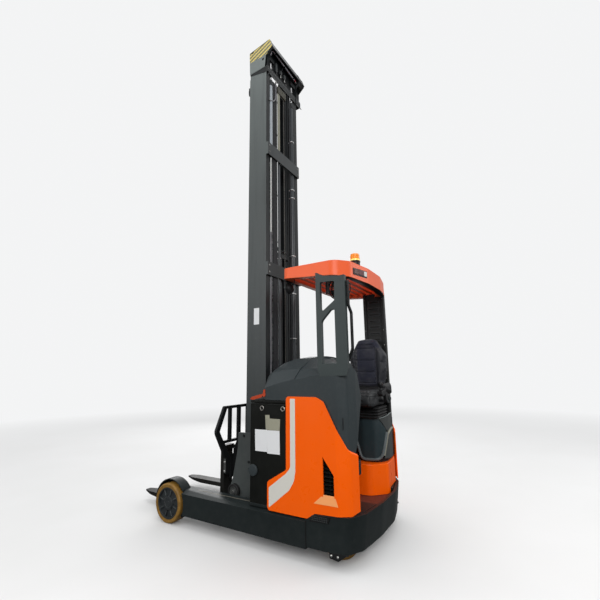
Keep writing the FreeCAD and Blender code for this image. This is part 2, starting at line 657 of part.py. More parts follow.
# caster: swivelling fork with a trailing twin wheel
cx, cy, cr, tr = D("cast_x"), D("cast_y"), D("cast_r"), D("cast_trail")
cfork = fuse(cyl("Z", 70, cx, cy, 300, 29), cyl("Z", 18, cx, cy, 320, 17), box(cx - tr - 40, cx + 50, cy - 12, cy + 12, 60, 305),
             cyl("Y", 16, cx - tr, cy - 62, cr, 124))
node("caster_fork", cfork)
cw1 = cut(cyl("Y", cr, cx - tr, cy + 16, cr, 44), cyl("Y", 16.05, cx - tr, cy, cr, 80))
cw2 = cut(cyl("Y", cr, cx - tr, cy - 60, cr, 44), cyl("Y", 16.05, cx - tr, cy - 80, cr, 80))
node("caster_wheels", group(cw1, cw2))

# ================================================================ mast
def channel(y, x0, x1, t, tf, fin, z0, z1):
    """C section standing on end, open towards the middle, left side."""
    return pad("XY", [(x0, y), (x1, y), (x1, fin), (x1 - tf, fin), (x1 - tf, y - t), (x0 + tf, y - t),
                      (x0 + tf, fin), (x0, fin)], z0, z1)


oc = channel(D("col_y"), D("col_x0"), D("col_x1"), D("col_t"), D("col_flange"), D("col_flange_in"), D("col_z0"), D("col_z1"))
omc = mirror(oc)
beams = []
for z0, z1 in ((3705, 3850), (2350, 2490), (1010, 1150)):
    beams.append(box(D("col_x0") - 26, D("col_x0") - 12, -D("col_y"), D("col_y"), z0, z1))
    beams.append(box(D("col_x0") - 26, D("col_x0") + 2, D("col_flange_in") + 8, D("col_y"), z0, z1))
    beams.append(box(D("col_x0") - 26, D("col_x0") + 2, -D("col_y"), -D("col_flange_in") - 8, z0, z1))
node("outer_mast", fuse(oc, omc, *beams))

# reach carriage: foot plates, rollers, cross tube
gus = plate("XZ", [(-299, 232, 20), (102, 232, 20), (102, 330, 20), (73, 401, 20), (17, 676, 20), (15, 815, 6), (-299, 823, 6)], 322, 342)
rollers = [cyl("Y", 62, 39, 340, 285, 112), cyl("Y", 62, -225, 340, 285, 112)]
foot = fuse(gus, box(D("col_x1"), D("col_x1") + 18, 250, 330, 400, 690), *rollers)
cross = box(-299, -64, -330, 330, 210, 248)
node("reach_carriage", fuse(foot, mirror(foot), cross))

# main lift cylinders
def lift_cylinder(y):
    t = cut(cyl("Z", D("cyl_r"), D("cyl_x"), y, 300, D("cyl_z1") - 300),
            cyl("Z", D("rod_r") + 6, D("cyl_x"), y, 330, D("cyl_z1") - 300))
    return t


node("lift_cylinders", group(lift_cylinder(D("cyl_y")), lift_cylinder(-D("cyl_y"))))

# middle mast with the head above the columns
mc = channel(D("mid_y"), D("mid_x0"), D("mid_x1"), D("mid_t"), D("mid_t"), D("mid_flange_in"), D("mid_z0"), D("mid_z1") - 60)
head = plate("XZ", [(-53, 5110, 14), (-347, 5158, 20), (-379, 5054, 20), (-290, 4967, 20), (-276, 4817, 10), (-61, 4822, 10)], 290, 320)
beam_top = plate("XZ", [(-345, 5150, 8), (-378, 5050, 6), (-366, 5047, 0), (-330, 5146, 0)], -410, 300)
beam_low = plate("YZ", [(300, 4748, 0), (-404, 4748, 24), (-404, 4830, 18), (300, 4830, 0)], -312, -300)
beam_cap = box(-344, -290, -300, 300, 5120, 5146)
lugs = box(-312, -252, 180, 300, 4940, 4990)
foot_beam = box(D("mid_x0"), D("mid_x0") + 16, -D("mid_flange_in") - 2, D("mid_flange_in") + 2, 275, 345)
node("middle_mast", fuse(mc, mirror(mc), head, mirror(head), beam_top, beam_low, beam_cap, lugs, mirror(lugs), foot_beam,
                         box(-312, -290, 284, 300, 4748, 5140), box(-312, -290, -300, -284, 4748, 5140)))
rods = [cyl("Z", D("rod_r"), D("cyl_x"), y, 360, 4940 - 360) for y in (D("cyl_y"), -D("cyl_y"))]
node("lift_rods", group(*rods))

# inner mast, with the free lift cylinder standing in its middle
ic = channel(D("inn_y"), D("inn_x0"), D("inn_x1"), D("inn_t"), D("inn_t"), D("inn_flange_in"), D("inn_z0"), D("inn_z1"))
ibeam = [box(D("inn_x0"), D("inn_x0") + 14, -D("inn_flange_in") - 2, D("inn_flange_in") + 2, z0, z1)
         for z0, z1 in ((360, 430), (4900, 5050))]
node("inner_mast", fuse(ic, mirror(ic), *ibeam))
free_x, free_r = -252.0, 25.0
fl = fuse(cyl("Z", free_r, free_x, 0, 362, 2240), box(-240, D("inn_x0"), -24, 24, 364, 426))
node("free_lift_tube", cut(fl, cyl("Z", 19, free_x, 0, 390, 2240)))
frod = fuse(cyl("Z", 15, free_x, 0, 420, 2200), box(-272, -232, -150, 150, 2616, 2660),
            cyl("Y", 30, free_x, -92, 2700, 24), cyl("Y", 30, free_x, 68, 2700, 24), cyl("Y", 12, free_x, -110, 2700, 220),
            box(-262, -242, -112, -100, 2640, 2720), box(-262, -242, 100, 112, 2640, 2720))
node("free_lift_rod", frod)

# lift carriage running in the inner mast, with ears for the tilt pins
tx, tz = D("tilt_x"), D("tilt_z")
arm = box(-200, 40, 152, 184, 420, 900)
blk = box(-204, -137, 152, 246, 430, 560)
blk2 = box(-204, -137, 152, 246, 760, 890)
ear = fuse(box(-20, tx, 196, 214, tz - 24, tz + 24), cyl("Y", 24, tx, 196, tz, 18))
arm_l = fuse(arm, blk, blk2, ear)
car = fuse(arm_l, mirror(arm_l), box(-20, 40, -214, 214, 470, 520), box(-20, 20, -214, 214, 416, 480), box(-20, 40, -190, 190, 800, 900))
pin_bore = cyl("Y", 15 + D("run_gap"), tx, 188, tz, 30)
car = cut(car, pin_bore, mirror(pin_bore))
node("lift_carriage", car)
# tilting fork carriage: two bars, side plates, lugs and pins on the pivot
lug = fuse(box(tx, 80, 222, 240, tz - 24, tz + 24), cyl("Y", 24, tx, 222, tz, 18), cyl("Y", 15, tx, 192, tz, 48))
cheek = plate("XZ", [(110, 400, 0), (110, 640, 10), (40, 800, 4), (22, 800, 4), (70, 600, 10), (70, 400, 0)], 284, 300)
half = fuse(lug, cheek, box(78, 110, 180, 222, 400, 690))
fc = fuse(half, mirror(half), box(78, 110, -300, 300, 400, 470), box(78, 110, -300, 300, 610, 690))
node("fork_carriage", fc)


def fork(y):
    x0, t = D("fork_x0"), D("fork_t")
    shank = pad("XZ", [(x0 - 20, 690), (x0 - 20, 650), (x0, 640), (x0, D("fork_top") - t), (D("fork_tip") - 250, D("fork_top") - t),
                       (D("fork_tip"), D("fork_top") - 12), (D("fork_tip") - 6, D("fork_top") - 2), (D("fork_tip") - 30, D("fork_top")),
                       (x0 + t, D("fork_top")), (x0 + t, 660), (x0 + t - 10, 690)],
                y - D("fork_w") / 2, y + D("fork_w") / 2)
    # blade rounded in plan at its tip
    plan = plate("XY", [(x0 - 30, y - D("fork_w") / 2, 0), (D("fork_tip") - 120, y - D("fork_w") / 2, 60), (D("fork_tip"), y - 26, 24),
                        (D("fork_tip"), y + 26, 24), (D("fork_tip") - 120, y + D("fork_w") / 2, 60), (x0 - 30, y + D("fork_w") / 2, 0)], 60, 700)
    return common(shank, plan)


node("forks", group(fork(D("fork_y")), fork(-D("fork_y"))))

# load backrest
outl = [(378, 432, 0), (396, 448, 6), (396, 574, 10), (540, 832, 60), (426, 1063, 20)]
out_o = outl + [(-y, z, r) for y, z, r in reversed(outl)]
inl = [(302, 440, 0), (302, 585, 10), (445, 818, 50), (375, 1032, 10)]
hole_top = [(440, 722, 0), (445, 818, 40), (377, 1032, 10)]
br = plate_shape("YZ", out_o, 116, 144)
v1 = plate_shape("YZ", [(340, 400, 0), (340, 590, 0), (412, 716, 0), (-412, 716, 0), (-340, 590, 0), (-340, 400, 0)], 100, 160)
br = br.cut(v1)
cols = [(452, 352), (318, 222), (182, 82), (38, -38), (-82, -182), (-222, -318), (-352, -452)]
for a, b in [(318, 222), (182, 82), (38, -38), (-82, -182), (-222, -318)]:
    br = br.cut(Part.makeBox(60, a - b, 292, Vector(100, b, 742)))
side_hole = plate_shape("YZ", [(352, 742, 0), (431, 742, 0), (486, 832, 30), (390, 1036, 0), (352, 1036, 0)], 100, 160)
br = br.cut(side_hole)
br = br.cut(side_hole.mirror(Vector(0, 0, 0), Vector(0, 1, 0)))
for s in (1, -1):
    br = br.fuse(Part.makeBox(20.4, 24, 100, Vector(143.8, 340 if s > 0 else -364, 452)))
node("load_backrest", feature(br.removeSplitter(), "Backrest"))

# steering wheel: rim and hub on the console
sw = doc.addObject("Part::Torus", fresh("Torus"))
sw.Radius1 = 100
sw.Radius2 = 12
swh = doc.addObject("Part::Cylinder", fresh("Cyl"))
swh.Radius = 30
swh.Height = 30
swh.Placement = Placement(Vector(0, 0, -20), Rotation())
spoke = doc.addObject("Part::Box", fresh("Box"))
spoke.Length = 200
spoke.Width = 24
spoke.Height = 12
spoke.Placement = Placement(Vector(-100, -12, -6), Rotation())
swf = fuse(sw, swh, spoke)
swf.Placement = Placement(Vector(-1000, 105, 1415), Rotation(Vector(1, 0, 0), 20))
node("steering_wheel", swf)

# ---------------------------------------------------------------- export
doc.recompute()
os.makedirs("parts", exist_ok=True)
bad = []
for o in doc.Objects:
    if any(s in ("Invalid", "Error") for s in o.State):
        bad.append("%s %s %s" % (o.Name, o.Label, o.State))
for label, o in NODES.items():
    if o.Shape.isNull() or not o.Shape.isValid() or not o.Shape.Solids:
        bad.append("%s: bad shape" % label)
if bad:
    raise RuntimeError("; ".join(bad))
for label, o in NODES.items():
    o.Shape.exportStep("parts/%s.step" % label)
    bb = o.Shape.BoundBox
    print("%-22s solids %d  X %8.1f %8.1f  Y %8.1f %8.1f  Z %8.1f %8.1f  vol %.5f m3" % (
        label, len(o.Shape.Solids), bb.XMin, bb.XMax, bb.YMin, bb.YMax, bb.ZMin, bb.ZMax, o.Shape.Volume / 1e9))
print("nodes", len(NODES))
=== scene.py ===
import bpy, bmesh, math, json, random
from mathutils import Vector, Matrix
from mathutils import noise as mnoise


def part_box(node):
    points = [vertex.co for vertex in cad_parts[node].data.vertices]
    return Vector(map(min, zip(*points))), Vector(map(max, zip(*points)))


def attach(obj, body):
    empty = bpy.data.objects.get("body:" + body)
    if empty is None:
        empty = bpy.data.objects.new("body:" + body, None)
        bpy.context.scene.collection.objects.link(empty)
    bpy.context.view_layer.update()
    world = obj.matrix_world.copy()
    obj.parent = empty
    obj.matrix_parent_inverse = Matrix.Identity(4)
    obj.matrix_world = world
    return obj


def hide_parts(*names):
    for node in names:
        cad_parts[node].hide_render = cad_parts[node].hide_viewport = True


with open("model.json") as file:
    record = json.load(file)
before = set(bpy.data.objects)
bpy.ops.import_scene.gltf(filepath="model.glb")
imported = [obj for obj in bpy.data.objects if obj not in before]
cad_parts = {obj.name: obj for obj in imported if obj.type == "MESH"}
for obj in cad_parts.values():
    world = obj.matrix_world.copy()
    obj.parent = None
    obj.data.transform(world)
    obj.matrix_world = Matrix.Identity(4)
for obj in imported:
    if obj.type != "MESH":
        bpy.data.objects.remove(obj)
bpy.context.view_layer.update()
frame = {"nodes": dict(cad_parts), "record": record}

NODES = frame["nodes"]
BODY_OF = {}
for _b, _ns in frame["record"]["behaviour"]["bodies"].items():
    for _n in _ns:
        BODY_OF[_n] = _b
SLOT_OF = {s["node"]: s["material_slot"] for s in frame["record"]["subparts"]}
scene = bpy.context.scene
MM = 0.001

# ------------------------------------------------------------------ camera
C = Vector((-2.4286, 3.1831, 1.3804))
yaw, pitch, roll = math.radians(-58.8319), math.radians(11.1799), math.radians(-0.9507)
fwd = Vector((math.cos(pitch) * math.cos(yaw), math.cos(pitch) * math.sin(yaw), math.sin(pitch)))
rgt = fwd.cross(Vector((0, 0, 1))).normalized()
up = rgt.cross(fwd).normalized()
cr, sr = math.cos(roll), math.sin(roll)
r2 = cr * rgt + sr * up
u2 = -sr * rgt + cr * up
cam_data = bpy.data.cameras.new("photo_camera")
cam_data.sensor_width = 36.0
cam_data.lens = 363.154 / 600.0 * 36.0
cam_data.clip_start = 0.05
cam_data.clip_end = 200.0
cam = bpy.data.objects.new("photo_camera", cam_data)
M = Matrix((r2, u2, -fwd)).transposed().to_4x4()
M.translation = C
cam.matrix_world = M
scene.collection.objects.link(cam)
scene.camera = cam
scene.view_settings.view_transform = "Standard"
scene.view_settings.look = "None"
scene.view_settings.exposure = 0.0
scene.view_settings.gamma = 1.0

# ------------------------------------------------------------------ studio
world = bpy.data.worlds.new("studio")
scene.world = world
world.use_nodes = True
wt = world.node_tree
sky = wt.nodes.new("ShaderNodeTexCoord")
split = wt.nodes.new("ShaderNodeSeparateXYZ")
remap = wt.nodes.new("ShaderNodeMapRange")
tint = wt.nodes.new("ShaderNodeValToRGB")
wt.links.new(sky.outputs["Generated"], split.inputs[0])
remap.inputs["From Min"].default_value = -1.0
remap.inputs["From Max"].default_value = 1.0
wt.links.new(split.outputs["Z"], remap.inputs["Value"])
wt.links.new(remap.outputs["Result"], tint.inputs["Fac"])
# soft light from above, a dim floor below the horizon
for i, (f, v) in enumerate(((0.0, 0.10), (0.46, 0.16), (0.56, 0.50), (1.0, 0.80))):
    e = tint.color_ramp.elements[i] if i < 2 else tint.color_ramp.elements.new(f)
    if i == 1:
        e.position = f
    e.position = f
    e.color = (v, v * 1.005, v * 1.01, 1.0)
wt.links.new(tint.outputs["Color"], wt.nodes["Background"].inputs["Color"])
wt.nodes["Background"].inputs["Strength"].default_value = 1.0


def area(name, loc, target, size, size_y, power, colour=(1, 1, 1)):
    ld = bpy.data.lights.new(name, "AREA")
    ld.shape = "RECTANGLE"
    ld.size, ld.size_y = size, size_y
    ld.energy = power
    ld.color = colour
    o = bpy.data.objects.new(name, ld)
    o.location = loc
    o.rotation_euler = (Vector(target) - Vector(loc)).to_track_quat("-Z", "Y").to_euler()
    o.visible_camera = False
    scene.collection.objects.link(o)
    return o


area("key", (-4.4, 5.0, 4.2), (-0.6, 0.0, 1.4), 3.4, 3.4, 235)
area("side", (2.6, 6.2, 3.4), (0.0, 0.2, 1.8), 3.0, 4.5, 85)
area("top", (-0.6, 0.3, 8.6), (-0.4, 0.0, 0.0), 5.0, 4.0, 175)
area("back", (-5.6, -3.2, 3.6), (-0.8, 0.0, 1.6), 3.0, 3.4, 85)
area("rim", (3.6, -5.4, 3.2), (0.0, 0.0, 1.2), 6.0, 3.0, 150)

def stage_mesh(name, build):
    me = bpy.data.meshes.new(name)
    b = bmesh.new()
    build(b)
    b.to_mesh(me)
    b.free()
    o = bpy.data.objects.new(name, me)
    scene.collection.objects.link(o)
    o.visible_diffuse = False
    o.visible_glossy = False
    return o


floor = stage_mesh("studio_floor", lambda b: bmesh.ops.create_grid(b, x_segments=4, y_segments=4, size=58.0))
floor.location = (0, 0, -0.0005)
wall = stage_mesh("studio_wall", lambda b: bmesh.ops.create_uvsphere(b, u_segments=48, v_segments=24, radius=60.0))
wall.visible_shadow = False
wall.visible_transmission = False
wall_mat = bpy.data.materials.new("studio_wall")
wall_mat.use_nodes = True
wall_mat.node_tree.nodes.clear()
wo = wall_mat.node_tree.nodes.new("ShaderNodeOutputMaterial")
we = wall_mat.node_tree.nodes.new("ShaderNodeEmission")
we.inputs["Color"].default_value = (0.90, 0.905, 0.91, 1)
wall_mat.node_tree.links.new(we.outputs[0], wo.inputs[0])
wall.data.materials.append(wall_mat)


# ------------------------------------------------------------------ materials
class NT(object):
    def __init__(self, name):
        self.m = bpy.data.materials.new(name)
        self.m.use_nodes = True
        self.t = self.m.node_tree
        self.t.nodes.clear()
        self.out = self.t.nodes.new("ShaderNodeOutputMaterial")
        self.b = self.t.nodes.new("ShaderNodeBsdfPrincipled")
        self.t.links.new(self.b.outputs[0], self.out.inputs[0])
        self.co = self.t.nodes.new("ShaderNodeTexCoord").outputs["Object"]

    def n(self, kind, **kw):
        nd = self.t.nodes.new(kind)
        for k, v in kw.items():
            if hasattr(nd, k):
                setattr(nd, k, v)
            else:
                self.put(nd, k, v)
        return nd

    def put(self, nd, key, v):
        s = nd.inputs[key]
        if isinstance(v, bpy.types.NodeSocket):
            self.t.links.new(v, s)
        else:
            s.default_value = v

    def mapping(self, scale=(1, 1, 1), rot=(0, 0, 0), loc=(0, 0, 0), src=None):
        mp = self.t.nodes.new("ShaderNodeMapping")
        self.t.links.new(src or self.co, mp.inputs["Vector"])
        mp.inputs["Scale"].default_value = scale
        mp.inputs["Rotation"].default_value = rot
        mp.inputs["Location"].default_value = loc
        return mp.outputs[0]

    def noise(self, scale, detail=3.0, rough=0.55, dist=0.0, src=None):
        nd = self.t.nodes.new("ShaderNodeTexNoise")
        self.t.links.new(src or self.co, nd.inputs["Vector"])
        nd.inputs["Scale"].default_value = scale
        nd.inputs["Detail"].default_value = detail
        nd.inputs["Roughness"].default_value = rough
        nd.inputs["Distortion"].default_value = dist
        return nd.outputs["Fac"]

    def ramp(self, fac, stops, interp="LINEAR"):
        nd = self.t.nodes.new("ShaderNodeValToRGB")
        self.t.links.new(fac, nd.inputs[0])
        cr_ = nd.color_ramp
        cr_.interpolation = interp
        while len(cr_.elements) < len(stops):
            cr_.elements.new(0.5)
        for e, (p, c) in zip(cr_.elements, stops):
            e.position = p
            e.color = (c, c, c, 1) if isinstance(c, (int, float)) else (c[0], c[1], c[2], 1)
        return nd.outputs["Color"]

    def math(self, op, a, b=None, c=None, clamp=False):
        nd = self.t.nodes.new("ShaderNodeMath")
        nd.operation = op
        nd.use_clamp = clamp
        for i, v in enumerate((a, b, c)):
            if v is None:
                continue
            if isinstance(v, bpy.types.NodeSocket):
                self.t.links.new(v, nd.inputs[i])
            else:
                nd.inputs[i].default_value = v
        return nd.outputs[0]

    def mix(self, fac, a, b, mode="MIX"):
        nd = self.t.nodes.new("ShaderNodeMix")
        nd.data_type = "RGBA"
        nd.blend_type = mode
        for key, v in ((0, fac), (6, a), (7, b)):
            s = nd.inputs[key]
            if isinstance(v, bpy.types.NodeSocket):
                self.t.links.new(v, s)
            elif key == 0:
                s.default_value = v
            else:
                s.default_value = (v[0], v[1], v[2], 1)
        return nd.outputs[2]

    def bump(self, height, strength=0.3, dist=0.001, prev=None):
        nd = self.t.nodes.new("ShaderNodeBump")
        self.t.links.new(height, nd.inputs["Height"])
        nd.inputs["Strength"].default_value = strength
        nd.inputs["Distance"].default_value = dist
        if prev is not None:
            self.t.links.new(prev, nd.inputs["Normal"])
        return nd.outputs[0]

    def xyz(self):
        nd = self.t.nodes.new("ShaderNodeSeparateXYZ")
        self.t.links.new(self.co, nd.inputs[0])
        return nd.outputs

    def set(self, **kw):
        names = {"color": "Base Color", "rough": "Roughness", "metal": "Metallic", "normal": "Normal", "coat": "Coat Weight",
                 "coat_rough": "Coat Roughness", "sheen": "Sheen Weight", "sheen_rough": "Sheen Roughness", "ior": "IOR", "spec": "Specular IOR Level",
                 "trans": "Transmission Weight", "emit": "Emission Color", "emit_s": "Emission Strength", "sss": "Subsurface Weight", "alpha": "Alpha"}
        for k, v in kw.items():
            s = self.b.inputs[names[k]]
            if isinstance(v, bpy.types.NodeSocket):
                self.t.links.new(v, s)
            elif isinstance(v, (tuple, list)):
                s.default_value = (v[0], v[1], v[2], 1)
            else:
                s.default_value = v
        return self.m


def wear_mask(t, radius=0.004, lo=0.02, hi=0.25):
    """1 on worn outer edges, broken up with noise."""
    bev = t.n("ShaderNodeBevel", samples=4)
    bev.inputs["Radius"].default_value = radius
    geo = t.t.nodes.new("ShaderNodeNewGeometry")
    dot = t.t.nodes.new("ShaderNodeVectorMath")
    dot.operation = "DOT_PRODUCT"
    t.t.links.new(bev.outputs[0], dot.inputs[0])
    t.t.links.new(geo.outputs["Normal"], dot.inputs[1])
    edge = t.math("SUBTRACT", 1.0, dot.outputs["Value"])
    edge = t.ramp(edge, [(lo, 0.0), (hi, 1.0)])
    broken = t.ramp(t.noise(38.0, 5.0, 0.7), [(0.48, 0.0), (0.62, 1.0)])
    return t.math("MULTIPLY", edge, broken)


def paint(name, col, rough=0.42, coat=0.0, vary=0.12, dust=0.10, dust_col=(0.30, 0.29, 0.27), wear=0.0, wear_col=(0.25, 0.25, 0.25),
          peel=0.12, metal=0.0, streak=0.0, spec=0.26, low_dust=0.0):
    t = NT(name)
    big = t.noise(1.7, 4.0, 0.6)
    mid = t.noise(14.0, 5.0, 0.65, 0.4)
    fine = t.noise(420.0, 2.0, 0.6)
    dark = tuple(c * (1 - vary) for c in col)
    lite = tuple(min(1.0, c * (1 + vary) + 0.002) for c in col)
    c = t.mix(t.ramp(big, [(0.3, 0.0), (0.7, 1.0)]), dark, lite)
    d = t.ramp(mid, [(0.45, 0.0), (0.85, 1.0)])
    c = t.mix(t.math("MULTIPLY", d, dust), c, dust_col)
    if low_dust:
        z = t.xyz()[2]
        grad = t.math("MULTIPLY", t.ramp(z, [(0.0, 1.0), (0.55, 0.0)]), t.ramp(t.noise(24.0, 6.0, 0.7), [(0.3, 0.3), (0.75, 1.0)]))
        c = t.mix(t.math("MULTIPLY", grad, low_dust), c, dust_col)
    r = t.math("ADD", t.math("MULTIPLY", t.math("SUBTRACT", mid, 0.5), 0.22), rough)
    if streak:
        st = t.noise(1.0, 5.0, 0.6, 0.0, t.mapping((60, 60, 3.0)))
        sm = t.math("MULTIPLY", t.ramp(st, [(0.5, 0.0), (0.75, 1.0)]), streak)
        c = t.mix(sm, c, dust_col)
    if wear:
        wm = t.math("MULTIPLY", wear_mask(t), wear)
        c = t.mix(wm, c, wear_col)
        r = t.math("ADD", r, t.math("MULTIPLY", wm, 0.1))
    nrm = t.bump(t.noise(160.0, 2.0, 0.5), peel, 0.0006)
    nrm = t.bump(fine, peel * 0.6, 0.0003, nrm)
    return t.set(color=c, rough=r, metal=metal, normal=nrm, coat=coat, coat_rough=0.12, spec=spec)


def moulded(name, col, rough=0.55, grain=700.0, depth=0.35, vary=0.10, spec=0.24):
    """Grained moulded plastic."""
    t = NT(name)
    vor = t.t.nodes.new("ShaderNodeTexVoronoi")
    vor.feature = "SMOOTH_F1"
    t.t.links.new(t.co, vor.inputs["Vector"])
    vor.inputs["Scale"].default_value = grain
    big = t.noise(2.3, 4.0, 0.6)
    mid = t.noise(30.0, 4.0, 0.6)
    c = t.mix(t.ramp(big, [(0.3, 0.0), (0.7, 1.0)]), tuple(x * (1 - vary) for x in col), tuple(x * (1 + vary) for x in col))
    c = t.mix(t.math("MULTIPLY", t.ramp(mid, [(0.5, 0.0), (0.9, 1.0)]), 0.03), c, (0.32, 0.31, 0.29))
    r = t.math("ADD", t.math("MULTIPLY", t.math("SUBTRACT", mid, 0.5), 0.18), rough)
    nrm = t.bump(vor.outputs["Distance"], depth, 0.0005)
    nrm = t.bump(t.noise(60.0, 3.0), 0.05, 0.001, nrm)
    return t.set(color=c, rough=r, normal=nrm, spec=spec)


def steel(name, col=(0.36, 0.35, 0.33), rough=0.38, scratch=(4, 160, 160), rust=0.1, metal=1.0):
    t = NT(name)
    s = t.noise(1.0, 6.0, 0.7, 0.0, t.mapping(scratch))
    big = t.noise(5.0, 6.0, 0.65)
    c = t.mix(t.ramp(big, [(0.35, 0.0), (0.7, 1.0)]), tuple(x * 0.75 for x in col), tuple(min(1, x * 1.15) for x in col))
    rm = t.math("MULTIPLY", t.ramp(t.noise(17.0, 7.0, 0.75, 0.5), [(0.56, 0.0), (0.74, 1.0)]), rust)
    c = t.mix(rm, c, (0.16, 0.085, 0.045))
    r = t.math("ADD", t.math("MULTIPLY", s, 0.28), rough - 0.12)
    r = t.math("ADD", r, t.math("MULTIPLY", rm, 0.3))
    nrm = t.bump(s, 0.12, 0.0005)
    return t.set(color=c, rough=r, metal=metal, normal=nrm)


def rubber(name, col=(0.012, 0.012, 0.013), rough=0.75, scale=300.0, depth=0.25):
    t = NT(name)
    mid = t.noise(22.0, 5.0, 0.65)
    c = t.mix(t.math("MULTIPLY", t.ramp(mid, [(0.45, 0.0), (0.85, 1.0)]), 0.07), col, (0.13, 0.125, 0.115))
    nrm = t.bump(t.noise(scale, 3.0, 0.6), depth, 0.0005)
    r = t.math("ADD", t.math("MULTIPLY", mid, 0.15), rough - 0.08)
    return t.set(color=c, rough=r, normal=nrm, spec=0.35)


def fabric(name, col, col2, scale=900.0, depth=0.5, rough=0.85, sheen=0.25):
    """Woven upholstery cloth: two crossed thread waves."""
    t = NT(name)
    w1 = t.t.nodes.new("ShaderNodeTexWave")
    w1.wave_type = "BANDS"; w1.bands_direction = "X"; w1.wave_profile = "SIN"
    t.t.links.new(t.co, w1.inputs["Vector"])
    w1.inputs["Scale"].default_value = scale / 6.2832
    w1.inputs["Distortion"].default_value = 0.6
    w1.inputs["Detail"].default_value = 1.0
    w2 = t.t.nodes.new("ShaderNodeTexWave")
    w2.wave_type = "BANDS"; w2.bands_direction = "Z"; w2.wave_profile = "SIN"
    t.t.links.new(t.co, w2.inputs["Vector"])
    w2.inputs["Scale"].default_value = scale / 6.2832
    w2.inputs["Distortion"].default_value = 0.6
    w2.inputs["Detail"].default_value = 1.0
    h = t.math("MULTIPLY", w1.outputs["Fac"], w2.outputs["Fac"])
    big = t.noise(9.0, 5.0, 0.65)
    c = t.mix(h, col, col2)
    c = t.mix(t.math("MULTIPLY", t.ramp(big, [(0.45, 0.0), (0.85, 1.0)]), 0.25), c, (0.16, 0.155, 0.15))
    nrm = t.bump(h, depth, 0.0006)
    nrm = t.bump(t.noise(140.0, 4.0), 0.15, 0.001, nrm)
    return t.set(color=c, rough=rough, normal=nrm, sheen=sheen, sheen_rough=0.4, spec=0.3)


def leather(name, col, rough=0.5, scale=420.0, depth=0.35):
    t = NT(name)
    v = t.t.nodes.new("ShaderNodeTexVoronoi")
    v.feature = "DISTANCE_TO_EDGE"
    t.t.links.new(t.mapping((1, 1, 1), src=t.co), v.inputs["Vector"])
    v.inputs["Scale"].default_value = scale
    cell = t.ramp(v.outputs["Distance"], [(0.0, 0.0), (0.14, 1.0)])
    big = t.noise(7.0, 5.0, 0.6)
    c = t.mix(t.ramp(big, [(0.35, 0.0), (0.75, 1.0)]), tuple(x * 0.93 for x in col), tuple(x * 1.07 for x in col))
    c = t.mix(t.math("MULTIPLY", t.math("SUBTRACT", 1.0, cell), 0.35), c, tuple(x * 0.45 for x in col))
    nrm = t.bump(cell, depth, 0.0005)
    nrm = t.bump(t.noise(45.0, 4.0, 0.6), 0.12, 0.002, nrm)
    r = t.math("ADD", t.math("MULTIPLY", big, 0.2), rough - 0.1)
    return t.set(color=c, rough=r, normal=nrm, spec=0.4)


MAT = {}
MAT["chassis_paint"] = paint("chassis_paint", (0.0095, 0.0140, 0.0145), 0.36, spec=0.14, vary=0.16, dust=0.06, dust_col=(0.08, 0.08, 0.078), wear=0.35, wear_col=(0.12, 0.12, 0.12), peel=0.16, low_dust=0.18)
MAT["hood_grey"] = moulded("hood_grey", (0.030, 0.038, 0.041), 0.44, 620.0, 0.30)
MAT["orange_panel"] = paint("orange_panel", (0.99, 0.118, 0.0), 0.30, coat=0.0, vary=0.03, spec=0.22, dust=0.03, dust_col=(0.55, 0.22, 0.08), peel=0.10, low_dust=0.05)
MAT["guard_orange"] = paint("guard_orange", (0.86, 0.125, 0.035), 0.34, coat=0.0, vary=0.05, dust=0.05, dust_col=(0.6, 0.3, 0.18), peel=0.14)
MAT["black_steel"] = paint("black_steel", spec=0.18, col=(0.0075, 0.0085, 0.0090), rough=0.40, vary=0.2, dust=0.08, dust_col=(0.06, 0.06, 0.06), wear=0.5, wear_col=(0.14, 0.14, 0.14), peel=0.14, low_dust=0.10)
MAT["battery_black"] = paint("battery_black", spec=0.14, col=(0.0052, 0.0058, 0.0048), rough=0.34, vary=0.25, dust=0.06, dust_col=(0.04, 0.04, 0.037), wear=0.35, wear_col=(0.10, 0.10, 0.09), peel=0.22, streak=0.06)
MAT["fork_steel"] = paint("fork_steel", (0.011, 0.0109, 0.0098), 0.42, vary=0.3, dust=0.3, dust_col=(0.045, 0.039, 0.031), wear=0.7, wear_col=(0.12, 0.112, 0.10), peel=0.2, metal=0.35)
MAT["hub_dark"] = paint("hub_dark", (0.020, 0.024, 0.026), 0.48, vary=0.2, dust=0.16, dust_col=(0.14, 0.14, 0.13), wear=0.5, wear_col=(0.2, 0.2, 0.2), peel=0.4)
MAT["seat_vinyl"] = leather("seat_vinyl", (0.030, 0.032, 0.034), 0.5)
MAT["seat_fabric"] = fabric("seat_fabric", (0.0125, 0.014, 0.024), (0.038, 0.039, 0.063))
MAT["seat_bolster"] = leather("seat_bolster", (0.020, 0.021, 0.027), 0.52, 380.0, 0.3)
MAT["seat_shell"] = moulded("seat_shell", (0.025, 0.038, 0.043), 0.32, 800.0, 0.22)
MAT["shell_trim"] = moulded("shell_trim", (0.105, 0.122, 0.127), 0.42, 700.0, 0.22)
MAT["bellows_rubber"] = rubber("bellows_rubber", (0.007, 0.007, 0.0075), 0.62, 260.0, 0.3)
MAT["black_plastic"] = moulded("black_plastic", (0.010, 0.010, 0.011), 0.42, 900.0, 0.3)
MAT["cylinder_khaki"] = paint("cylinder_khaki", (0.014, 0.0165, 0.018), 0.34, vary=0.2, dust=0.12, dust_col=(0.12, 0.12, 0.11), peel=0.1)
MAT["khaki_tube"] = paint("khaki_tube", (0.22, 0.22, 0.175), 0.5, vary=0.10, dust=0.2, dust_col=(0.10, 0.095, 0.08), peel=0.1, streak=0.2)
MAT["pale_pipe"] = paint("pale_pipe", (0.52, 0.53, 0.52), 0.35, vary=0.06, dust=0.12, dust_col=(0.25, 0.24, 0.22), peel=0.06)
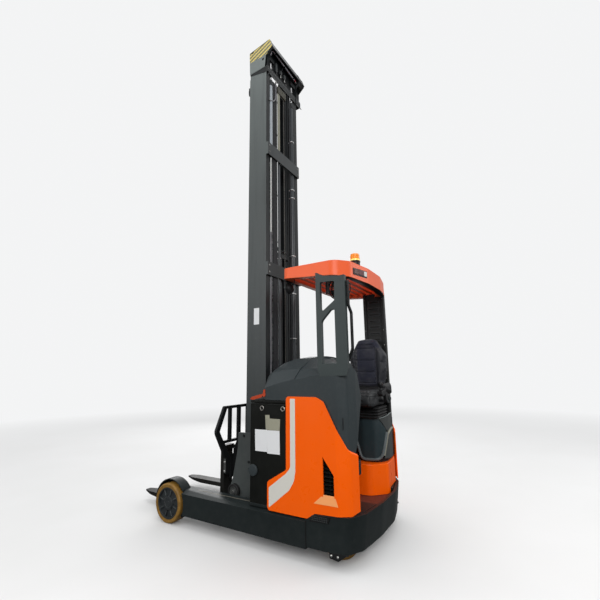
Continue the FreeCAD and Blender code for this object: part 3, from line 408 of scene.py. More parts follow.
MAT["chrome_rod"] = steel("chrome_rod", (0.72, 0.72, 0.73), 0.2, (200, 200, 6), 0.02)
MAT["bolt_steel"] = steel("bolt_steel", (0.30, 0.30, 0.29), 0.42, (90, 90, 90), 0.25)
MAT["chain_steel"] = steel("chain_steel", (0.15, 0.145, 0.135), 0.42, (120, 120, 120), 0.35)
MAT["tie_white"] = moulded("tie_white", (0.72, 0.73, 0.73), 0.45, 500.0, 0.1, 0.03)
MAT["plate_white"] = paint("plate_white", (0.76, 0.77, 0.78), 0.45, vary=0.03, dust=0.10, dust_col=(0.55, 0.53, 0.5), peel=0.05)
MAT["plate_beige"] = paint("plate_beige", (0.40, 0.39, 0.30), 0.40, vary=0.07, dust=0.25, dust_col=(0.20, 0.19, 0.15), peel=0.06, metal=0.4)
MAT["stripe_grey"] = paint("stripe_grey", (0.69, 0.67, 0.61), 0.30, coat=0.0, vary=0.03, dust=0.04, peel=0.05)
MAT["ring_pale"] = steel("ring_pale", (0.42, 0.40, 0.37), 0.4, (60, 60, 60), 0.2)
MAT["bolt_pale"] = steel("bolt_pale", (0.66, 0.66, 0.64), 0.34, (90, 90, 90), 0.05)
MAT["pillar_rib"] = paint("pillar_rib", (0.022, 0.024, 0.025), 0.42, vary=0.2, dust=0.12, dust_col=(0.07, 0.065, 0.06), peel=0.14, spec=0.2)
MAT["lamp_glass"] = moulded("lamp_glass", (0.30, 0.32, 0.33), 0.12, 90.0, 0.6)
MAT["lens_white"] = moulded("lens_white", (0.62, 0.62, 0.60), 0.2, 120.0, 0.4)
MAT["amber_dull"] = moulded("amber_dull", (0.075, 0.022, 0.012), 0.24, 160.0, 0.4)
MAT["mast_hose"] = rubber("mast_hose", (0.0065, 0.007, 0.0095), 0.6, 200.0, 0.15)
MAT["cap_red"] = paint("cap_red", (0.20, 0.02, 0.03), 0.4, vary=0.1, dust=0.1, peel=0.05)
MAT["dark_gap"] = paint("dark_gap", (0.004, 0.004, 0.004), 0.7, vary=0.2, dust=0.1, dust_col=(0.03, 0.03, 0.03), peel=0.1)
MAT["red_lens"] = moulded("red_lens", (0.085, 0.010, 0.014), 0.22, 300.0, 0.1)
MAT["grease"] = rubber("grease", (0.030, 0.018, 0.010), 0.35, 90.0, 0.5)


def mast_paint():
    t = NT("mast_grey")
    z = t.xyz()[2]
    # painted shade: the mast colour darkens smoothly from the top down to the foot
    g = t.ramp(t.math("DIVIDE", z, 5.2), [(0.0, (0.020, 0.025, 0.026)), (0.30, (0.030, 0.037, 0.038)), (0.60, (0.058, 0.068, 0.068)), (1.0, (0.155, 0.180, 0.175))])
    big = t.noise(2.1, 5.0, 0.6)
    c = t.mix(t.math("MULTIPLY", t.ramp(big, [(0.3, 0.0), (0.75, 1.0)]), 0.22), g, (0.05, 0.055, 0.055))
    st = t.noise(1.0, 6.0, 0.62, 0.2, t.mapping((26, 26, 1.2)))
    c = t.mix(t.math("MULTIPLY", t.ramp(st, [(0.52, 0.0), (0.74, 1.0)]), 0.30), c, (0.020, 0.022, 0.022))
    sp = t.noise(55.0, 5.0, 0.7)
    c = t.mix(t.math("MULTIPLY", t.ramp(sp, [(0.60, 0.0), (0.72, 1.0)]), 0.22), c, (0.16, 0.17, 0.165))
    wm = t.math("MULTIPLY", wear_mask(t), 0.35)
    c = t.mix(wm, c, (0.16, 0.16, 0.155))
    r = t.math("ADD", t.math("MULTIPLY", st, 0.2), 0.32)
    nrm = t.bump(t.noise(130.0, 3.0, 0.5), 0.14, 0.0006)
    return t.set(color=c, rough=r, normal=nrm)


MAT["mast_grey"] = mast_paint()


def hazard_paint():
    """Diagonal yellow and black bars on the upper part, bare mast colour below."""
    t = NT("hazard_bars")
    xyz = t.xyz()
    # direction across the bars, in the side plane
    s = t.math("ADD", t.math("MULTIPLY", xyz[0], 0.42), t.math("MULTIPLY", xyz[2], 0.907))
    f = t.math("FRACT", t.math("DIVIDE", s, 0.046))
    bar = t.ramp(f, [(0.0, 0.0), (0.02, 1.0), (0.56, 1.0), (0.60, 0.0)], "LINEAR")
    dirt = t.noise(30.0, 5.0, 0.7)
    yellow = t.mix(t.math("MULTIPLY", t.ramp(dirt, [(0.4, 0.0), (0.8, 1.0)]), 0.25), (0.66, 0.53, 0.15), (0.34, 0.29, 0.12))
    black = (0.115, 0.120, 0.080)
    bars = t.mix(bar, black, yellow)
    # lower border of the painted area slopes with the plate
    lim = t.math("SUBTRACT", xyz[2], t.math("MULTIPLY", t.math("ADD", xyz[0], 0.30), 0.0))
    mask = t.ramp(t.math("MULTIPLY", t.math("SUBTRACT", lim, 4.972), 200.0, clamp=True), [(0.0, 0.0), (1.0, 1.0)])
    base = t.mix(t.math("MULTIPLY", t.ramp(dirt, [(0.45, 0.0), (0.8, 1.0)]), 0.25), (0.165, 0.19, 0.185), (0.08, 0.085, 0.08))
    c = t.mix(mask, base, bars)
    nrm = t.bump(t.noise(150.0, 3.0), 0.12, 0.0006)
    return t.set(color=c, rough=0.42, normal=nrm)


MAT["hazard"] = hazard_paint()


def tread_mat():
    t = NT("tread")
    mid = t.noise(26.0, 5.0, 0.65, 0.4)
    fine = t.noise(220.0, 3.0, 0.6)
    c = t.mix(t.ramp(mid, [(0.3, 0.0), (0.75, 1.0)]), (0.145, 0.075, 0.012), (0.33, 0.175, 0.030))
    c = t.mix(t.math("MULTIPLY", t.ramp(fine, [(0.55, 0.0), (0.8, 1.0)]), 0.3), c, (0.06, 0.045, 0.025))
    nrm = t.bump(fine, 0.2, 0.0006)
    return t.set(color=c, rough=0.52, normal=nrm, spec=0.4)


MAT["tread"] = tread_mat()


def mat_floor():
    t = NT("floor_mat")
    v = t.t.nodes.new("ShaderNodeTexVoronoi")
    v.feature = "F1"
    v.inputs["Randomness"].default_value = 0.0
    t.t.links.new(t.mapping((1, 1, 0.0)), v.inputs["Vector"])
    v.inputs["Scale"].default_value = 55.0
    stud = t.ramp(v.outputs["Distance"], [(0.28, 1.0), (0.36, 0.0)])
    mid = t.noise(12.0, 5.0, 0.65)
    c = t.mix(stud, (0.088, 0.012, 0.004), (0.16, 0.029, 0.011))
    c = t.mix(t.math("MULTIPLY", t.ramp(mid, [(0.45, 0.0), (0.8, 1.0)]), 0.14), c, (0.10, 0.085, 0.075))
    nrm = t.bump(stud, 0.6, 0.0015)
    return t.set(color=c, rough=0.62, normal=nrm)


MAT["floor_mat"] = mat_floor()


def amber():
    t = NT("amber_lens")
    ribs = t.t.nodes.new("ShaderNodeTexWave")
    ribs.wave_type = "BANDS"; ribs.bands_direction = "Z"
    t.t.links.new(t.co, ribs.inputs["Vector"])
    ribs.inputs["Scale"].default_value = 40.0
    c = t.mix(ribs.outputs["Fac"], (0.72, 0.19, 0.004), (0.86, 0.30, 0.010))
    nrm = t.bump(ribs.outputs["Fac"], 0.3, 0.002)
    return t.set(color=c, rough=0.16, normal=nrm, emit=(1.0, 0.32, 0.01), emit_s=0.10, coat=0.15)


MAT["amber_lens"] = amber()


def band():
    t = NT("beacon_band")
    c = t.mix(t.noise(60.0, 3.0), (0.86, 0.60, 0.10), (0.95, 0.74, 0.20))
    return t.set(color=c, rough=0.2, emit=(1.0, 0.72, 0.20), emit_s=0.35)


MAT["beacon_band"] = band()

fl = NT("studio_floor")
fc = fl.mix(fl.ramp(fl.noise(0.8, 3.0, 0.5), [(0.3, 0.0), (0.7, 1.0)]), (0.70, 0.70, 0.695), (0.73, 0.73, 0.73))
floor_mat = fl.set(color=fc, rough=0.8, spec=0.05)
# away from the truck the floor fades into the pale wall
fd = fl.t.nodes.new("ShaderNodeVectorMath")
fd.operation = "LENGTH"
fl.t.links.new(fl.co, fd.inputs[0])
far = fl.ramp(fl.math("DIVIDE", fd.outputs["Value"], 12.0), [(0.0, 0.0), (0.22, 0.10), (1.0, 1.0)])
fe = fl.t.nodes.new("ShaderNodeEmission")
fe.inputs["Color"].default_value = (0.90, 0.905, 0.91, 1)
fx = fl.t.nodes.new("ShaderNodeMixShader")
fl.t.links.new(far, fx.inputs[0])
fl.t.links.new(fl.b.outputs[0], fx.inputs[1])
fl.t.links.new(fe.outputs[0], fx.inputs[2])
fl.t.links.new(fx.outputs[0], fl.out.inputs[0])
floor.data.materials.append(floor_mat)


# ------------------------------------------------------------------ mesh tools
def finish_mesh(o, angle=32.0, weighted=True):
    me = o.data
    for p in me.polygons:
        p.use_smooth = True
    me.set_sharp_from_angle(angle=math.radians(angle))
    if weighted:
        w = o.modifiers.new("wn", "WEIGHTED_NORMAL")
        w.keep_sharp = True
        w.weight = 60
    return o


class Build(object):
    """Collects many small solids into one mesh."""

    def __init__(self):
        self.bm = bmesh.new()
        self.mats = []

    def mi(self, m):
        mt = MAT[m]
        if mt not in self.mats:
            self.mats.append(mt)
        return self.mats.index(mt)

    def take(self, tmp, m, mw=None):
        if mw is not None:
            bmesh.ops.transform(tmp, matrix=mw, verts=tmp.verts)
        k = self.mi(m)
        for f in tmp.faces:
            f.material_index = k
        me = bpy.data.meshes.new("tmp")
        tmp.to_mesh(me)
        tmp.free()
        self.bm.from_mesh(me)
        bpy.data.meshes.remove(me)

    def box(self, x0, x1, y0, y1, z0, z1, m, bev=2.0, segs=2, mw=None):
        tmp = bmesh.new()
        bmesh.ops.create_cube(tmp, size=1.0)
        sx, sy, sz = (x1 - x0) * MM, (y1 - y0) * MM, (z1 - z0) * MM
        for v in tmp.verts:
            v.co = Vector(((v.co.x + 0.5) * sx + x0 * MM, (v.co.y + 0.5) * sy + y0 * MM, (v.co.z + 0.5) * sz + z0 * MM))
        b = min(bev * MM, 0.45 * min(abs(sx), abs(sy), abs(sz)))
        if b > 0:
            bmesh.ops.bevel(tmp, geom=list(tmp.edges), offset=b, segments=segs, profile=0.5, affect="EDGES", clamp_overlap=True)
        self.take(tmp, m, mw)

    def lathe(self, c, axis, prof, m, segs=48, mw=None, closed=False, caps=True):
        """prof: (r, h) in mm along +axis from c; m is one material or a list, one for each segment."""
        tmp = bmesh.new()
        ax = {"X": (Vector((0, 1, 0)), Vector((0, 0, 1)), Vector((1, 0, 0))),
              "Y": (Vector((0, 0, 1)), Vector((1, 0, 0)), Vector((0, 1, 0))),
              "Z": (Vector((1, 0, 0)), Vector((0, 1, 0)), Vector((0, 0, 1)))}
        u, v, w = ax[axis] if isinstance(axis, str) else axis
        cc = Vector(c)
        rings = []
        for r, h in prof:
            if r < 1e-6:
                rings.append([tmp.verts.new((cc + w * h) * MM)])
            else:
                rings.append([tmp.verts.new((cc + w * h + (u * math.cos(2 * math.pi * i / segs) + v * math.sin(2 * math.pi * i / segs)) * r) * MM)
                              for i in range(segs)])
        pairs = list(zip(rings, rings[1:]))
        if closed:
            pairs.append((rings[-1], rings[0]))
        ms = m if isinstance(m, (list, tuple)) else [m] * len(pairs)
        ks = [self.mi(x) for x in ms]
        for (a, b), k in zip(pairs, ks):
            for i in range(segs):
                j = (i + 1) % segs
                if len(a) == 1 and len(b) == 1:
                    continue
                if len(a) == 1:
                    f = tmp.faces.new((a[0], b[i], b[j]))
                elif len(b) == 1:
                    f = tmp.faces.new((a[i], b[0], a[j]))
                else:
                    f = tmp.faces.new((a[i], b[i], b[j], a[j]))
                f.material_index = k
        for ring, k in ((rings[0], ks[0]), (rings[-1], ks[-1])):
            if caps and not closed and len(ring) > 1:
                f = tmp.faces.new(ring)
                f.material_index = k
        bmesh.ops.recalc_face_normals(tmp, faces=tmp.faces)
        if mw is not None:
            bmesh.ops.transform(tmp, matrix=mw, verts=tmp.verts)
        me = bpy.data.meshes.new("tmp")
        tmp.to_mesh(me)
        tmp.free()
        self.bm.from_mesh(me)
        bpy.data.meshes.remove(me)

    def cyl(self, p0, p1, r, m, segs=24, bev=1.0, r2=None):
        """Round bar between two points, with chamfered ends."""
        p0, p1 = Vector(p0), Vector(p1)
        w = (p1 - p0)
        L = w.length
        w.normalize()
        u = w.orthogonal().normalized()
        v = w.cross(u)
        r2 = r if r2 is None else r2
        b = min(bev, 0.4 * r, 0.4 * L)
        self.lathe(p0, (u, v, w), [(r - b, 0), (r, b), (r2, L - b), (r2 - b, L)], m, segs)

    def bolt(self, p, n, r, m="bolt_steel", washer=True, h=None, hexa=True):
        p, n = Vector(p), Vector(n).normalized()
        h = h or r * 0.7
        if washer:
            self.cyl(p, p + n * r * 0.22, r * 1.35, m, 20, 0.3)
            p = p + n * r * 0.2
        u = n.orthogonal().normalized()
        v = n.cross(u)
        self.lathe(p, (u, v, n), [(r, 0), (r, h * 0.8), (r * 0.84, h)], m, 6 if hexa else 20)

    def tube(self, pts, r, m, segs=12, closed=False, sub=6, smooth=True, r_of=None):
        """Round tube along points (mm); smooth uses a Catmull-Rom path."""
        P = [Vector(p) for p in pts]
        path = []
        n = len(P)
        if smooth and n > 2:
            for i in range(n if closed else n - 1):
                a = P[(i - 1) % n] if closed or i > 0 else P[0] * 2 - P[1]
                b, c = P[i], P[(i + 1) % n]
                d = P[(i + 2) % n] if closed or i + 2 < n else P[-1] * 2 - P[-2]
                for k in range(sub):
                    t = k / sub
                    path.append(0.5 * ((2 * b) + (c - a) * t + (2 * a - 5 * b + 4 * c - d) * t * t + (3 * b - a - 3 * c + d) * t ** 3))
            if not closed:
                path.append(P[-1])
        else:
            path = P
        tmp = bmesh.new()
        rings = []
        N = len(path)
        prev_u = None
        for i, p in enumerate(path):
            if closed:
                tan = (path[(i + 1) % N] - path[i - 1]).normalized()
            else:
                tan = (path[min(i + 1, N - 1)] - path[max(i - 1, 0)]).normalized()
            if prev_u is None:
                u = tan.orthogonal().normalized()
            else:
                u = (prev_u - tan * prev_u.dot(tan)).normalized()
            prev_u = u
            v = tan.cross(u)
            rr = r if r_of is None else r_of(i / max(1, N - 1)) * r
            rings.append([tmp.verts.new((p + (u * math.cos(2 * math.pi * k / segs) + v * math.sin(2 * math.pi * k / segs)) * rr) * MM) for k in range(segs)])
        rng = range(N if closed else N - 1)
        for i in rng:
            a, b = rings[i], rings[(i + 1) % N]
            for k in range(segs):
                tmp.faces.new((a[k], b[k], b[(k + 1) % segs], a[(k + 1) % segs]))
        if not closed:
            tmp.faces.new(rings[0])
            tmp.faces.new(rings[-1])
        bmesh.ops.recalc_face_normals(tmp, faces=tmp.faces)
        self.take(tmp, m)

    def prism(self, plane, pts, a, b, m, bev=2.0, segs=2, mw=None, angle=40.0):
        """Outline pts (u, v) or (u, v, r) in a plane, from a to b, with bevelled edges."""
        out = rounded(pts)
        tmp = bmesh.new()
        place = {"XY": lambda u, v, h: Vector((u, v, h)), "XZ": lambda u, v, h: Vector((u, h, v)), "YZ": lambda u, v, h: Vector((h, u, v))}[plane]
        lo = [tmp.verts.new(place(u, v, a) * MM) for u, v in out]
        hi = [tmp.verts.new(place(u, v, b) * MM) for u, v in out]
        tmp.faces.new(lo)
        tmp.faces.new(hi)
        n = len(out)
        for i in range(n):
            j = (i + 1) % n
            tmp.faces.new((lo[i], lo[j], hi[j], hi[i]))
        bmesh.ops.recalc_face_normals(tmp, faces=tmp.faces)
        if bev > 0:
            es = [e for e in tmp.edges if e.calc_face_angle(0) > math.radians(angle)]
            bmesh.ops.bevel(tmp, geom=es, offset=min(bev * MM, 0.45 * abs(b - a) * MM), segments=segs, profile=0.5, affect="EDGES", clamp_overlap=True)
        self.take(tmp, m, mw)

    def done(self, name, body, slot=None, angle=32.0, replaces=(), weighted=True):
        me = bpy.data.meshes.new(name)
        self.bm.to_mesh(me)
        self.bm.free()
        for m in self.mats:
            me.materials.append(m)
        o = bpy.data.objects.new(name, me)
        scene.collection.objects.link(o)
        finish_mesh(o, angle, weighted)
        if isinstance(body, str):
            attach(o, body)
        if replaces:
            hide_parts(*replaces)
        return o


def rounded(pts, step=12.0):
    """Outline with rounded corners as plain points."""
    n = len(pts)
    out = []
    for i in range(n):
        p = Vector(pts[i][:2])
        r = pts[i][2] if len(pts[i]) > 2 else 0
        if r <= 0:
            out.append((p.x, p.y))
            continue
        a = (Vector(pts[i - 1][:2]) - p).normalized()
        b = (Vector(pts[(i + 1) % n][:2]) - p).normalized()
        ang = a.angle(b)
        half = ang / 2
        t = r / math.tan(half)
        c = p + (a + b).normalized() * (r / math.sin(half))
        s = p + a * t - c
        turn = math.pi - ang
        k = max(2, int(math.degrees(turn) / step))
        sign = 1 if (a.x * b.y - a.y * b.x) < 0 else -1
        for q in range(k + 1):
            th = sign * turn * q / k
            cs, sn = math.cos(th), math.sin(th)
            out.append((c.x + s.x * cs - s.y * sn, c.y + s.x * sn + s.y * cs))
    return out


def refine(node, bevel=2.5, segs=2, angle=28.0, mat=None, name=None, dissolve=1.0):
    """The CAD piece's own shape with its sharp edges rounded, standing for the CAD node."""
    src = NODES[node]
    bm = bmesh.new()
    bm.from_mesh(src.data)
    bmesh.ops.remove_doubles(bm, verts=bm.verts, dist=2e-5)
    bmesh.ops.dissolve_limit(bm, angle_limit=math.radians(dissolve), verts=bm.verts, edges=bm.edges)
    bmesh.ops.recalc_face_normals(bm, faces=bm.faces)
    if bevel > 0:
        es = [e for e in bm.edges if len(e.link_faces) == 2 and e.calc_face_angle(0) > math.radians(angle)]
        bmesh.ops.bevel(bm, geom=es, offset=bevel * MM, segments=segs, profile=0.6, affect="EDGES", clamp_overlap=True)
    for f in bm.faces:
        f.material_index = 0
    me = bpy.data.meshes.new(name or node + "_skin")
    bm.to_mesh(me)
    bm.free()
    me.materials.append(MAT[mat or SLOT_OF[node]])
    o = bpy.data.objects.new(name or node + "_skin", me)
    scene.collection.objects.link(o)
    finish_mesh(o, 30.0)
    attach(o, BODY_OF[node])
    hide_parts(node)
    return o


# ================================================================== refined CAD skins
def soften(node, steps, mat=None, cutter=None, name=None, dissolve=1.0, paint_fn=None, extra=None):
    """Copy of the CAD shape with rounded edges. steps: (width mm, segments, angle, pick(edge) or None) in turn."""
    src = NODES[node]
    bm = bmesh.new()
    bm.from_mesh(src.data)
    bmesh.ops.remove_doubles(bm, verts=bm.verts, dist=2e-5)
    bmesh.ops.dissolve_limit(bm, angle_limit=math.radians(dissolve), verts=bm.verts, edges=bm.edges)
    bmesh.ops.recalc_face_normals(bm, faces=bm.faces)
    bev = bm.edges.layers.int.new("done")
    for w, sg, ang, pick in steps:
        es = [e for e in bm.edges if len(e.link_faces) == 2 and e[bev] == 0 and e.calc_face_angle(0) > math.radians(ang)
              and (pick is None or pick((e.verts[0].co + e.verts[1].co) * 500.0, e))]
        if es:
            r = bmesh.ops.bevel(bm, geom=es, offset=w * MM, segments=sg, profile=0.55, affect="EDGES", clamp_overlap=True)
            for f in r["faces"]:
                for e in f.edges:
                    e[bev] = 1
    for f in bm.faces:
        f.material_index = 0
    mats = [MAT[mat or SLOT_OF[node]]]
    if extra:
        mats += [MAT[k] for k in extra]
    if paint_fn:
        bm.normal_update()
        for f in bm.faces:
            f.material_index = paint_fn(f.calc_center_median() * 1000.0, f.normal)
    me = bpy.data.meshes.new(name or node + "_skin")
    bm.to_mesh(me)
    bm.free()
    for m in mats:
        me.materials.append(m)
    o = bpy.data.objects.new(name or node + "_skin", me)
    scene.collection.objects.link(o)
    finish_mesh(o, 30.0)
    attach(o, BODY_OF[node])
    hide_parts(node)
    return o


SOFT = {
    "support_leg_left": [(9, 3, 28, None)], "support_leg_right": [(9, 3, 28, None)],
    "load_wheel_fenders": [(3.5, 2, 28, None)],
    "rear_skirt": [(7, 3, 35, None)],
    "deck_plate": [(3, 2, 28, None)],
    "cross_frame": [(2.5, 2, 28, None)],
    "cab_bulkhead": [(3, 2, 28, None)],
    "battery": [(5, 3, 28, None)],
    "hood": [(16, 4, 14, lambda p, e: p.z > 1160 and p.x > -780 and abs(p.y) < 640), (3, 2, 28, None)],
    "cab_floor": [(2, 2, 28, None)],
    "seat_pedestal": [(14, 4, 25, None)],

    "grab_bar": [(1.5, 2, 40, None)],
    "drive_motor": [(3, 2, 28, None)], "drive_housing": [(5, 3, 28, None)], "drive_hub": [(3, 2, 28, None)],
    "caster_fork": [(3, 2, 28, None)],
    "lift_rods": [(2, 2, 28, None)],
    "free_lift_tube": [(2, 2, 28, None)],
    "lift_carriage": [(3, 2, 28, None)], "fork_carriage": [(3, 2, 28, None)], "forks": [(3.5, 3, 28, None)],
    "steering_wheel": [(1.5, 2, 28, None)],
}
SKIN = {}
for nname, st in SOFT.items():
    SKIN[nname] = soften(nname, st)
# painted highlight: lighter orange on the bevelled edges of the side panels
MAT["orange_painted_highlight"] = paint("orange_painted_highlight", (1.0, 0.21, 0.035), 0.26, coat=0.0, vary=0.03, spec=0.35, dust=0.03, dust_col=(0.55, 0.22, 0.08), peel=0.08, low_dust=0.04)


# picks the bevel faces that get the painted highlight
def panel_edge_highlight(c, n):
    if n.x < -0.2 and abs(n.z) < 0.2:
        return 0
    return 1 if 0.25 < abs(n.y) < 0.93 and abs(c.y) > 606 and c.x > -1235 else 0


soften("side_panel_left", [(10, 4, 35, lambda p, e: p.y > 617 or (p.x < -1190)), (2, 2, 35, None)], paint_fn=panel_edge_highlight, extra=["orange_painted_highlight"])
soften("side_panel_right", [(10, 4, 35, lambda p, e: p.y < -617 or (p.x < -1190)), (2, 2, 35, None)], paint_fn=panel_edge_highlight, extra=["orange_painted_highlight"])


# ================================================================== load wheels
def load_wheel(side, s):
    body = "load_wheel_" + side
    y0, y1 = 522.0 * s, 640.0 * s
    c = (620.0, 0.0, 175.0)
    a = min(y0, y1)
    lo, hi = (y0, y1) if s > 0 else (y1, y0)
    t = Build()
    # polyurethane tyre: round shoulders, a fine parting line, bonded to a steel rim band
    prof = []
    R, ri, W0, W1 = 175.0, 139.5, lo, hi
    sh = 15.0
    prof.append((ri, W0 + 3))
    for k in range(6):
        th = math.pi / 2 * k / 5
        prof.append((R - sh + sh * math.sin(th) - 0.0, W0 + sh - sh * math.cos(th)))
    mid = 0.5 * (W0 + W1)
    prof += [(R, mid - 2.0), (R - 0.8, mid - 1.0), (R - 0.8, mid + 1.0), (R, mid + 2.0)]
    for k in range(6):
        th = math.pi / 2 * (1 - k / 5)
        prof.append((R - sh + sh * math.sin(th), W1 - sh + sh * math.cos(th)))
    prof.append((ri, W1 - 3))
    t.lathe(c, "Y", prof, "tread", 96, closed=True)
    t.done("load_tyre_%s_skin" % side, body, "tread", 30, ["load_tyre_" + side])
    h = Build()
    f = hi if s > 0 else lo      # outer face
    b = lo if s > 0 else hi      # inner face
    n = -s                       # into the wheel from the outer face
    # rim band, recessed dish, hub boss, all turned
    pr = [(139.0, f + n * 6), (136.0, f + n * 4), (129.0, f + n * 4), (126.0, f + n * 8), (124.0, f + n * 22), (62.0, f + n * 20),
          (60.0, f + n * 10), (57.0, f + n * 6), (40.0, f + n * 5), (38.0, f + n * 8), (20.0, f + n * 8), (18.0, f + n * 6), (0, f + n * 6)]
    h.lathe(c, "Y", pr, "hub_dark", 72, caps=False)
    pr = [(139.0, f + n * 6), (139.0, b - n * 6), (128.0, b - n * 6), (126.0, b - n * 20), (56.0, b - n * 20), (54.0, b - n * 10), (30.0, b - n * 8), (0, b - n * 8)]
    h.lathe(c, "Y", pr, "hub_dark", 72, caps=False)
    # eight cast ribs between boss and rim with a bright machined slot beside each
    for k in range(8):
        th = 2 * math.pi * k / 8 + 0.28
        u = Vector((math.cos(th), 0, math.sin(th)))
        v = Vector((-math.sin(th), 0, math.cos(th)))
        mw = Matrix((u, Vector((0, 1, 0)), v)).transposed().to_4x4()
        mw.translation = Vector(c) * MM
        y0_, y1_ = sorted((f + n * 21, f + n * 9))
        h.box(62, 126, y0_, y1_, -7, 7, "hub_dark", 2.5, 2, mw)
        ya, yb = sorted((f + n * 9.3, f + n * 7.8))
        h.box(72, 116, ya, yb, -3.2, 3.2, "rib_bright", 0.7, 1, mw)
    for k in range(5):
        th = 2 * math.pi * k / 5
        p = Vector((620 + 48 * math.cos(th), f + n * 5.4, 175 + 48 * math.sin(th)))
        h.bolt(p, (0, s, 0), 5.0, "hub_dark", True, 3.5)
    h.done("load_hub_%s_skin" % side, body, "hub_dark", 30, ["load_hub_" + side])


MAT["rib_bright"] = paint("rib_bright", (0.10, 0.115, 0.115), 0.32, vary=0.15, dust=0.15, dust_col=(0.2, 0.2, 0.19), metal=0.5, peel=0.1)
load_wheel("left", 1)
load_wheel("right", -1)

# inner webs that close the wheel arches behind the wheels
fw = Build()
for s in (1, -1):
    arc = [(620 + 206 * math.cos(math.radians(a)), 175 + 206 * math.sin(math.radians(a))) for a in range(12, 169, 6)]
    arc += [(620 + 120 * math.cos(math.radians(a)), 175 + 120 * math.sin(math.radians(a))) for a in range(168, 11, -12)]
    fw.prism("XZ", arc, 507 * s, 517 * s, "black_steel", 1.5)
fw.done("arch_webs", "chassis", "black_steel")

# ================================================================== drive wheel, caster wheels
dw = Build()
b0, b1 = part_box("drive_tyre")
dc = ((b0.x + b1.x) * 500, 0.0, (b0.z + b1.z) * 500)
dR = (b1.z - b0.z) * 500
dlo, dhi = b0.y * 1000, b1.y * 1000
pr = [(dR - 38, dlo + 3)] + [(dR - 14 + 14 * math.sin(a), dlo + 14 - 14 * math.cos(a)) for a in [i * math.pi / 8 for i in range(5)]]
for k in range(3):
    y = dlo + 30 + k * (dhi - dlo - 60) / 2
    pr += [(dR, y - 3), (dR - 3, y - 2), (dR - 3, y + 2), (dR, y + 3)]
pr += [(dR - 14 + 14 * math.cos(a), dhi - 14 + 14 * math.sin(a)) for a in [i * math.pi / 8 for i in range(5)]] + [(dR - 38, dhi - 3)]
dw.lathe(dc, "Y", pr, "tread", 80, closed=True)
dw.done("drive_tyre_skin", "drive_wheel", "tread", 30, ["drive_tyre"])
dh = Build()
for k in range(7):
    th = 2 * math.pi * k / 7
    for yy, nn in ((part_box("drive_hub")[1].y * 1000, 1), (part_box("drive_hub")[0].y * 1000, -1)):
        dh.bolt((dc[0] + 62 * math.cos(th), yy - nn * 7.0, dc[2] + 62 * math.sin(th)), (0, nn, 0), 7.0, "bolt_steel", True, 4.0)
dh.done("drive_hub_bolts", "drive_wheel", "hub_dark")
b0, b1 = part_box("caster_wheels")
cc = ((b0.x + b1.x) * 500, 0.0, (b0.z + b1.z) * 500)
cR = (b1.z - b0.z) * 500
cw = Build()
ymid = (b0.y + b1.y) * 500
for lo, hi in ((b0.y * 1000, ymid - 8), (ymid + 8, b1.y * 1000)):
    pr = [(cR - 22, lo + 2)] + [(cR - 9 + 9 * math.sin(a), lo + 9 - 9 * math.cos(a)) for a in [i * math.pi / 8 for i in range(5)]]
    pr += [(cR - 9 + 9 * math.cos(a), hi - 9 + 9 * math.sin(a)) for a in [i * math.pi / 8 for i in range(5)]] + [(cR - 22, hi - 2)]
    cw.lathe(cc, "Y", pr, "tread", 64, closed=True)
    cw.lathe(cc, "Y", [(cR - 22.5, lo + 4), (cR - 26, lo + 3), (cR - 30, lo + 9), (30, lo + 8), (28, lo + 3), (12, lo + 2), (12, hi - 2), (28, hi - 3), (30, hi - 8),
                       (cR - 30, hi - 9), (cR - 26, hi - 3), (cR - 22.5, hi - 4)], "hub_dark", 48, closed=True)
cw.lathe(cc, "Y", [(11.5, b0.y * 1000 + 2), (11.5, b1.y * 1000 - 2)], "bolt_steel", 24)
cw.done("caster_wheels_skin", "caster_wheel_pair", "tread", 30, ["caster_wheels"])

# ================================================================== battery face, panel stripe, small chassis parts
bt = Build()
for s in (1, -1):
    Y = 600 * s
    for x in (-468, -682):
        bt.lathe((x, Y - s * 3, 1082), (Vector((1, 0, 0)), Vector((0, 0, 1)), Vector((0, s, 0))),
                 [(13, 0), (13, 5.0), (14.5, 6.2), (19, 6.2), (20.5, 5.0), (20.5, 0)], "ring_pale", 32, closed=True)
        bt.cyl((x, Y - s * 4, 1082), (x, Y + s * 3.6, 1082), 13.2, "dark_gap", 24, 0.3)
# plates: blank sheets and a blank rating plate, edges a little lifted
def plate_on(b, y, s, pts, m, t=0.9):
    b.prism("XZ", pts, y, y + s * t, m, 0.25, 1)


plate_on(bt, 600.2, 1, [(-503, 1027), (-547, 1028), (-549, 999), (-655, 999), (-651, 908), (-510, 907)], "plate_beige", 1.0)
plate_on(bt, 600.4, 1, [(-395, 905), (-521, 907), (-524, 733), (-400, 732)], "plate_white", 1.0)
plate_on(bt, 600.9, 1, [(-521, 905), (-650, 907), (-652, 723), (-526, 722)], "plate_white", 1.1)
for x in (-410, -505, -535, -640):
    for z in (742, 897):
        bt.lathe((x, 601.8, z), (Vector((1, 0, 0)), Vector((0, 0, 1)), Vector((0, 1, 0))), [(2.6, 0), (2.6, 0.5), (1.6, 0.9)], "plate_white", 12)
for x, z in ((-516, 915), (-645, 915), (-516, 990), (-645, 990)):
    bt.lathe((x, 600.9, z), (Vector((1, 0, 0)), Vector((0, 0, 1)), Vector((0, 1, 0))), [(2.8, 0), (2.8, 0.8), (1.4, 1.5)], "bolt_steel", 12)
# welded bead along the tray corners and a lifting lip
for s in (1, -1):
    bt.tube([(-350, 599.5 * s, 345), (-350, 600.5 * s, 700), (-350, 599.5 * s, 1105)], 2.2, "battery_black", 8, sub=4)
    bt.box(-728, -352, *sorted((596 * s, 601.5 * s)), 1104, 1118, "battery_black", 2.0)
# vent slots in the upper edge of the tray, front and cables on top are under the lid
bt.done("battery_fittings", "chassis", "battery_black")

kn = Build()
